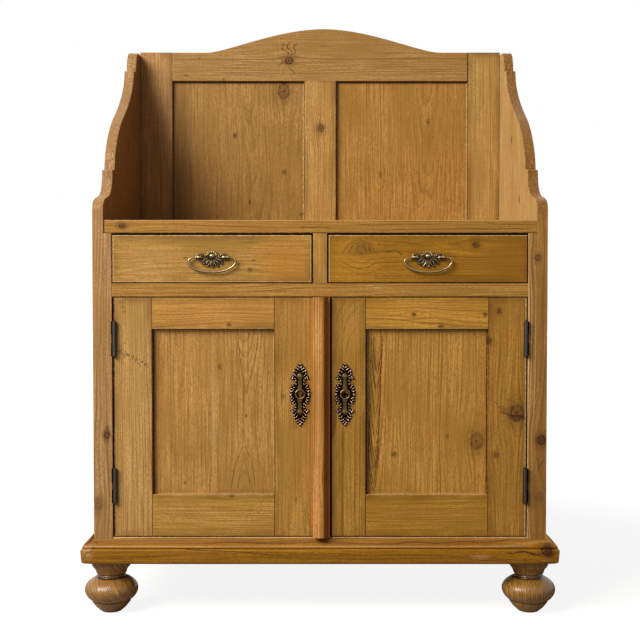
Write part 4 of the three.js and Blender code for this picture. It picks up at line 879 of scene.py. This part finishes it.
pull_brass = old_brass("aged brass, cast shell", -1.8, -4.8, "#a08a64", "#100a06")
bail_brass = old_brass("aged brass, drawn bail", -5, -8.2, "#a89068", "#140d07")
pivot = 742
boss = pivot + 2.5
post_reach = 26
first_petal, petal_step = 198, 24
for hand, middle in (("left", -222.5), ("right", 222.5)):
    plate = bmesh.new()
    rim = []
    for i in range(144):
        a = 2 * math.pi * i / 144
        if math.sin(a) < 0:
            rx, rz = 29.5, 22.5
            wave = abs(math.cos((math.degrees(a) - first_petal) / petal_step * math.pi))
            wave = 0.8 + 0.2 * wave ** 0.5
        else:
            rx, rz = 15.5, 8.8
            wave = 0.86 + 0.14 * abs(math.sin(math.degrees(a) / 30 * math.pi))
            if math.sin(a) < 0.35:
                rx = 29.5 - 40 * math.sin(a)
        rim.append((middle + rx * wave * math.cos(a), boss + rz * wave * math.sin(a)))
    sheet_casting(plate, rim, -0.05, -1.3)
    for i in range(7):
        a = math.radians(first_petal + petal_step * i)
        tip = Vector((28.6 * math.cos(a), 0, 22.6 * math.sin(a)))
        way = tip.normalized()
        beside = Vector((-way.z, 0, way.x))
        root, wide = 6.4, 3.8 if i in (0, 6) else 4.5
        loop = []
        for k in range(14):
            u = 2 * math.pi * k / 14
            out = 0.5 - 0.5 * math.cos(u)
            at = way * (root + (tip.length - root) * out)
            at += beside * (wide * math.sin(u) * (0.3 + 0.7 * out) / 1.25)
            loop.append((middle + at.x, -2.2 - 1.5 * math.sin(math.pi * min(1, out * 0.9)),
                         boss + at.z))
        swell(plate, loop, [0.45 + 0.8 * (0.5 - 0.5 * math.cos(2 * math.pi * k / 14))
                            for k in range(14)], 7, closed=True)
        leaf(plate, middle + 17 * math.cos(a), boss + 13.5 * math.sin(a),
             math.degrees(math.atan2(way.z, way.x)), 11, 1.4, -1.4, 0.6)
    for i in range(7):
        a = math.radians(12 + 26 * i)
        leaf(plate, middle + 9.6 * math.cos(a), boss + 1 + 7.2 * math.sin(a), math.degrees(a), 8.4,
             3, -2, 2)
    swell(plate, [(middle, y, boss) for y in (-0.5, -3, -3.4, -3.4, -4.6, -5.6, -6.2, -6.4)],
          [6, 6, 5.2, 4.6, 4.3, 3.4, 2, 0.5], 20, up=(0, 0, 1))
    for sign in (-1, 1):
        x = middle + post_reach * sign
        swell(plate, [(x, y, pivot) for y in (-0.3, -2, -3, -5.6)], [5, 5, 3, 2.6], 14,
              up=(0, 0, 1))
        swell(plate, [(x + d, -6.2, pivot) for d in (-6, -5, -2.6, 0, 2.6, 5, 6)],
              [1, 2.3, 3.1, 3.3, 3.1, 2.3, 1], 14)
        ear = smooth_run([(x - 14 * sign, -2, pivot + 3.4), (x - 6 * sign, -2.6, pivot + 7.2),
                          (x + 1.5 * sign, -2.8, pivot + 7.6), (x + 5.4 * sign, -2.8, pivot + 4.4),
                          (x + 4.4 * sign, -2.8, pivot + 1)], 3)
        swell(plate, ear, [0.7 + 0.8 * i / (len(ear) - 1) for i in range(len(ear))], 8)
        for inward, rise, angle, length, *shape in (
                (3.5, 3.2, 75, 5), (8, 4.6, 62, 6), (12, 3, 50, 6), (8, -0.6, -35, 6),
                (3.4, -3.8, -70, 5), (-6.8, -3.4, -40, 6.4, 3.2, -1.5, 1.6),
                (-8.2, 1.6, 10, 6, 2.8, -1.4, 1.4)):
            leaf(plate, x - inward * sign, pivot + rise, angle if sign > 0 else 180 - angle,
                 length, *(shape or (2.3, -1.8, 1.7)))
        swell(plate, [(x, 0, pivot), (x, 23.6, pivot)], [2, 2], 10, up=(0, 0, 1))
        swell(plate, [(x, 21.3, pivot), (x, 24.2, pivot)], [4.6, 4.6], 6, up=(0, 0, 1))
    cast(f"{hand}_pull_shell", plate, [pull_brass], f"{hand}_drawer", f"{hand}_pull_plate")

    bail = bmesh.new()
    half = [(24.6, 0), (30, 0)] + [(48.5 * a, -30.5 * b) for a, b in (
        (0.7, -0.01), (0.84, 0.03), (0.955, 0.14), (1, 0.32), (0.93, 0.54), (0.72, 0.79),
        (0.4, 0.95))] + [(0, -30.5)]
    run = smooth_run([(middle - x, -6, pivot + z) for x, z in half]
                     + [(middle + x, -6, pivot + z) for x, z in half[-2::-1]], 5)
    swell(bail, run, [1.5 + 0.55 * min(1, max(0, (pivot - z - 1) / 5)) for x, y, z in run], 12)
    for sign in (-1, 1):
        swell(bail, [(middle + sign * x, -6, pivot) for x in (30.2, 31, 32.4, 33.6, 34.4)],
              [1.5, 2.4, 2.7, 2.3, 1.5], 12)
    cast(f"{hand}_drawn_bail", bail, [bail_brass], f"{hand}_bail", f"{hand}_pull_bail")

# Escutcheons: long cast lace plates pinned to the stiles, with a smooth baluster and a ringed
# keyhole in the middle and small leaves round them. The left one is a sham over solid wood.

lace_brass = old_brass("aged brass, lace escutcheon", -1.6, -4.4, "#b89a84", "#1d0f0a")
column_brass = old_brass("aged brass, baluster of the escutcheon", -1.6, -3.8, "#7b653a",
    "#160f08")
lace_rim = [(0, 66.4), (2.6, 62.6), (6.6, 61.2), (6, 57.6), (10.2, 56), (9.6, 52.4), (14.2, 50),
            (12.4, 46.6), (15, 43.8), (12.4, 40.6), (16.6, 38.4), (20.2, 32.4), (14.6, 30.8),
            (10.4, 26.4), (9.4, 22.8), (12.4, 20.6), (18.6, 20), (17.6, 15.8), (20.6, 12.6),
            (18.6, 9), (21.6, 5.4), (19.6, 2.4), (22, 0)]
lace_leaves = [(0, 62.5, 90, 8, 3), (3.9, 58.6, 48, 7, 2.4), (1.7, 56, 72, 7, 2),
               (7.4, 54, 40, 7.4, 2.4), (4.2, 51.6, 58, 8, 2), (11.2, 48.6, 34, 7.4, 2.4),
               (7.6, 47.2, 52, 7.6, 2.2), (12.2, 42.8, 22, 6.8, 2.3), (9.4, 39.4, 40, 6, 2),
               (14.6, 36.2, -18, 8.6, 2.6), (16, 33, -28, 8.6, 2.4), (10.8, 33, -60, 7, 2),
               (8.6, 27.4, 82, 6.4, 2), (8.4, 20.8, 98, 6.4, 2), (12, 22, 20, 4.6, 1.9),
               (14.6, 17.8, 48, 8.6, 2.4), (12.2, 14.6, 60, 6, 2), (16.6, 12.2, 24, 8.8, 2.5),
               (17.6, 6.4, 12, 8.8, 2.5), (13.8, 9, 30, 5, 1.9), (18.6, 1.2, 2, 7.4, 2.3)]
for hand, middle in (("left", -41.3), ("right", 51.7)):
    centre = 459
    keyhole = arc((middle, centre + 3.4), (5.2, 5.2), -58, 296 / 15, 16)
    keyhole += [(middle - 3, centre - 8.8), (middle + 3, centre - 8.8)]
    rim = lace_rim + [(x, -z) for x, z in lace_rim[-2::-1]]
    rim += [(-x, z) for x, z in rim[-2:0:-1]]
    plate = bmesh.new()
    sheet_casting(plate, [(middle + x, centre + z) for x, z in rim], -0.05, -1.3, keyhole)
    sheet_casting(plate, arc((middle, centre), (9.6, 9.6), 0, 10, 36), -1.25, -1.7, keyhole)
    ring = [(x, -2.2, z) for x, z in arc((middle, centre), (9.4, 9.4), 0, 11.25, 32)]
    swell(plate, ring, 1.8, closed=True, part=1)
    for up_down in (-1, 1):
        shaft = [(9.6, 5.2), (12, 6.2), (14, 5.6), (20, 5), (28, 5), (32.6, 5.4), (34.2, 6.2),
                 (36, 6.8), (39, 6.4), (42, 4.6), (44.6, 2.4), (46.6, 0.7)]
        swell(plate, [(middle, -1.3, centre + up_down * z) for z, r in shaft],
              [r for z, r in shaft], 14, flat=0.36, part=1)
        for x, z, angle, length, width in lace_leaves:
            for side in (-1, 1):
                if x or side > 0:
                    bent = 24 * math.sin(7.1 * x + 3.3 * z + 2 * side + 5 * up_down)
                    grown = 1 + 0.16 * math.sin(5.3 * x + 1.7 * z + 3 * side + up_down)
                    turned_to = angle + bent if side > 0 else 180 - angle - bent
                    leaf(plate, middle + side * x, centre + up_down * z, up_down * turned_to,
                         length * grown * 0.76, width * grown * 0.95, -1.9, 1.2 + grown * 0.5)
        for x, z in ((7.2, 36.4), (8.4, 31.6), (14.6, 25.4), (5.6, 44.8), (0, 49.6)):
            for side in (-1, 1):
                if x or side > 0:
                    leaf(plate, middle + side * x, centre + up_down * z, 90, 2.6, 2.6, -1.6, 0.9)
    cast(f"{hand}_lace_escutcheon", plate, [lace_brass, column_brass], f"{hand}_door",
         f"{hand}_escutcheon")

# Hinges: iron loose-pin barrels with ball tips at the outer edges of the doors, their leaves let
# in between stile and door. Brown-black, the paint and oil worn thin on the round of the barrel,
# whose front is also painted lighter as a highlight.

# The barrel's front, out towards y -9.8, is worn thin and painted lighter as a highlight.
hinge_iron = old_brass("blackened iron, hinges", -5, -9.8, "#6a5f56", "#0d0806")
for hand in ("left", "right"):
    for level in ("upper", "lower"):
        for leaf_name in ("frame_leaf", "door_leaf"):
            dress(f"{hand}_{level}_hinge_{leaf_name}", hinge_iron, 0.3)

# Screws: flat slotted iron heads, three to a hinge leaf, sunk level with it.

head_radius = 3.2
slot_half = 0.4


def screw_heads(name, spots, normal, body):
    """Slotted heads at spots (x, y, z in mm) whose faces look along a normal, as two half discs."""
    metal = bmesh.new()
    normal = Vector(normal)
    level = normal.cross(Vector((0, 0, 1))).normalized()
    for number, spot in enumerate(spots):
        slot = math.radians(37 * number % 180)
        along = level * math.cos(slot) + Vector((0, 0, math.sin(slot)))
        beside = normal.cross(along)
        for half in (-1, 1):
            rows = []
            for radius, out in ((head_radius, -0.3), (head_radius, 0.12), (2.9, 0.25)):
                ring = [Vector(spot) + normal * out + along * a + beside * half * max(slot_half, b)
                        for a, b in arc((0, 0), (radius, radius), 7, 16.6, 11)]
                rows.append([metal.verts.new(metres(*place)) for place in ring])
            for one, two in zip(rows, rows[1:]):
                for i in range(11):
                    j = (i + 1) % 11
                    metal.faces.new((one[i], one[j], two[j], two[i]))
            metal.faces.new(rows[-1])
            metal.faces.new(rows[0][::-1])
    mount(as_object(name, metal, hinge_iron), body, "dark_iron")


hinge_screws = [(9, level + step) for level in (574, 269) for step in (-26, 0, 26)]
frame_leaf_face, door_leaf_face = 429.4, 427.6
for hand, side in (("left", -1), ("right", 1)):
    screw_heads(f"{hand}_frame_leaf_screws", [
        (side * frame_leaf_face, y, z) for y, z in hinge_screws], (-side, 0, 0), "carcass")
    screw_heads(f"{hand}_door_leaf_screws", [
        (side * door_leaf_face, y, z) for y, z in hinge_screws], (side, 0, 0), f"{hand}_door")

# Lock: an iron rim lock screwed to the back of the right door, with a square bolt.

lock_iron = old_brass("forged iron, rim lock", 20, 60, "#3b322b", "#2a231d")
dress("lock_case", lock_iron, 0.6)
dress("lock_bolt", lock_iron, 0.3)
screw_heads("lock_case_screws", [(x, 37, z) for x in (34, 78.5) for z in (433.5, 484.5)],
            (0, 1, 0), "right_door")
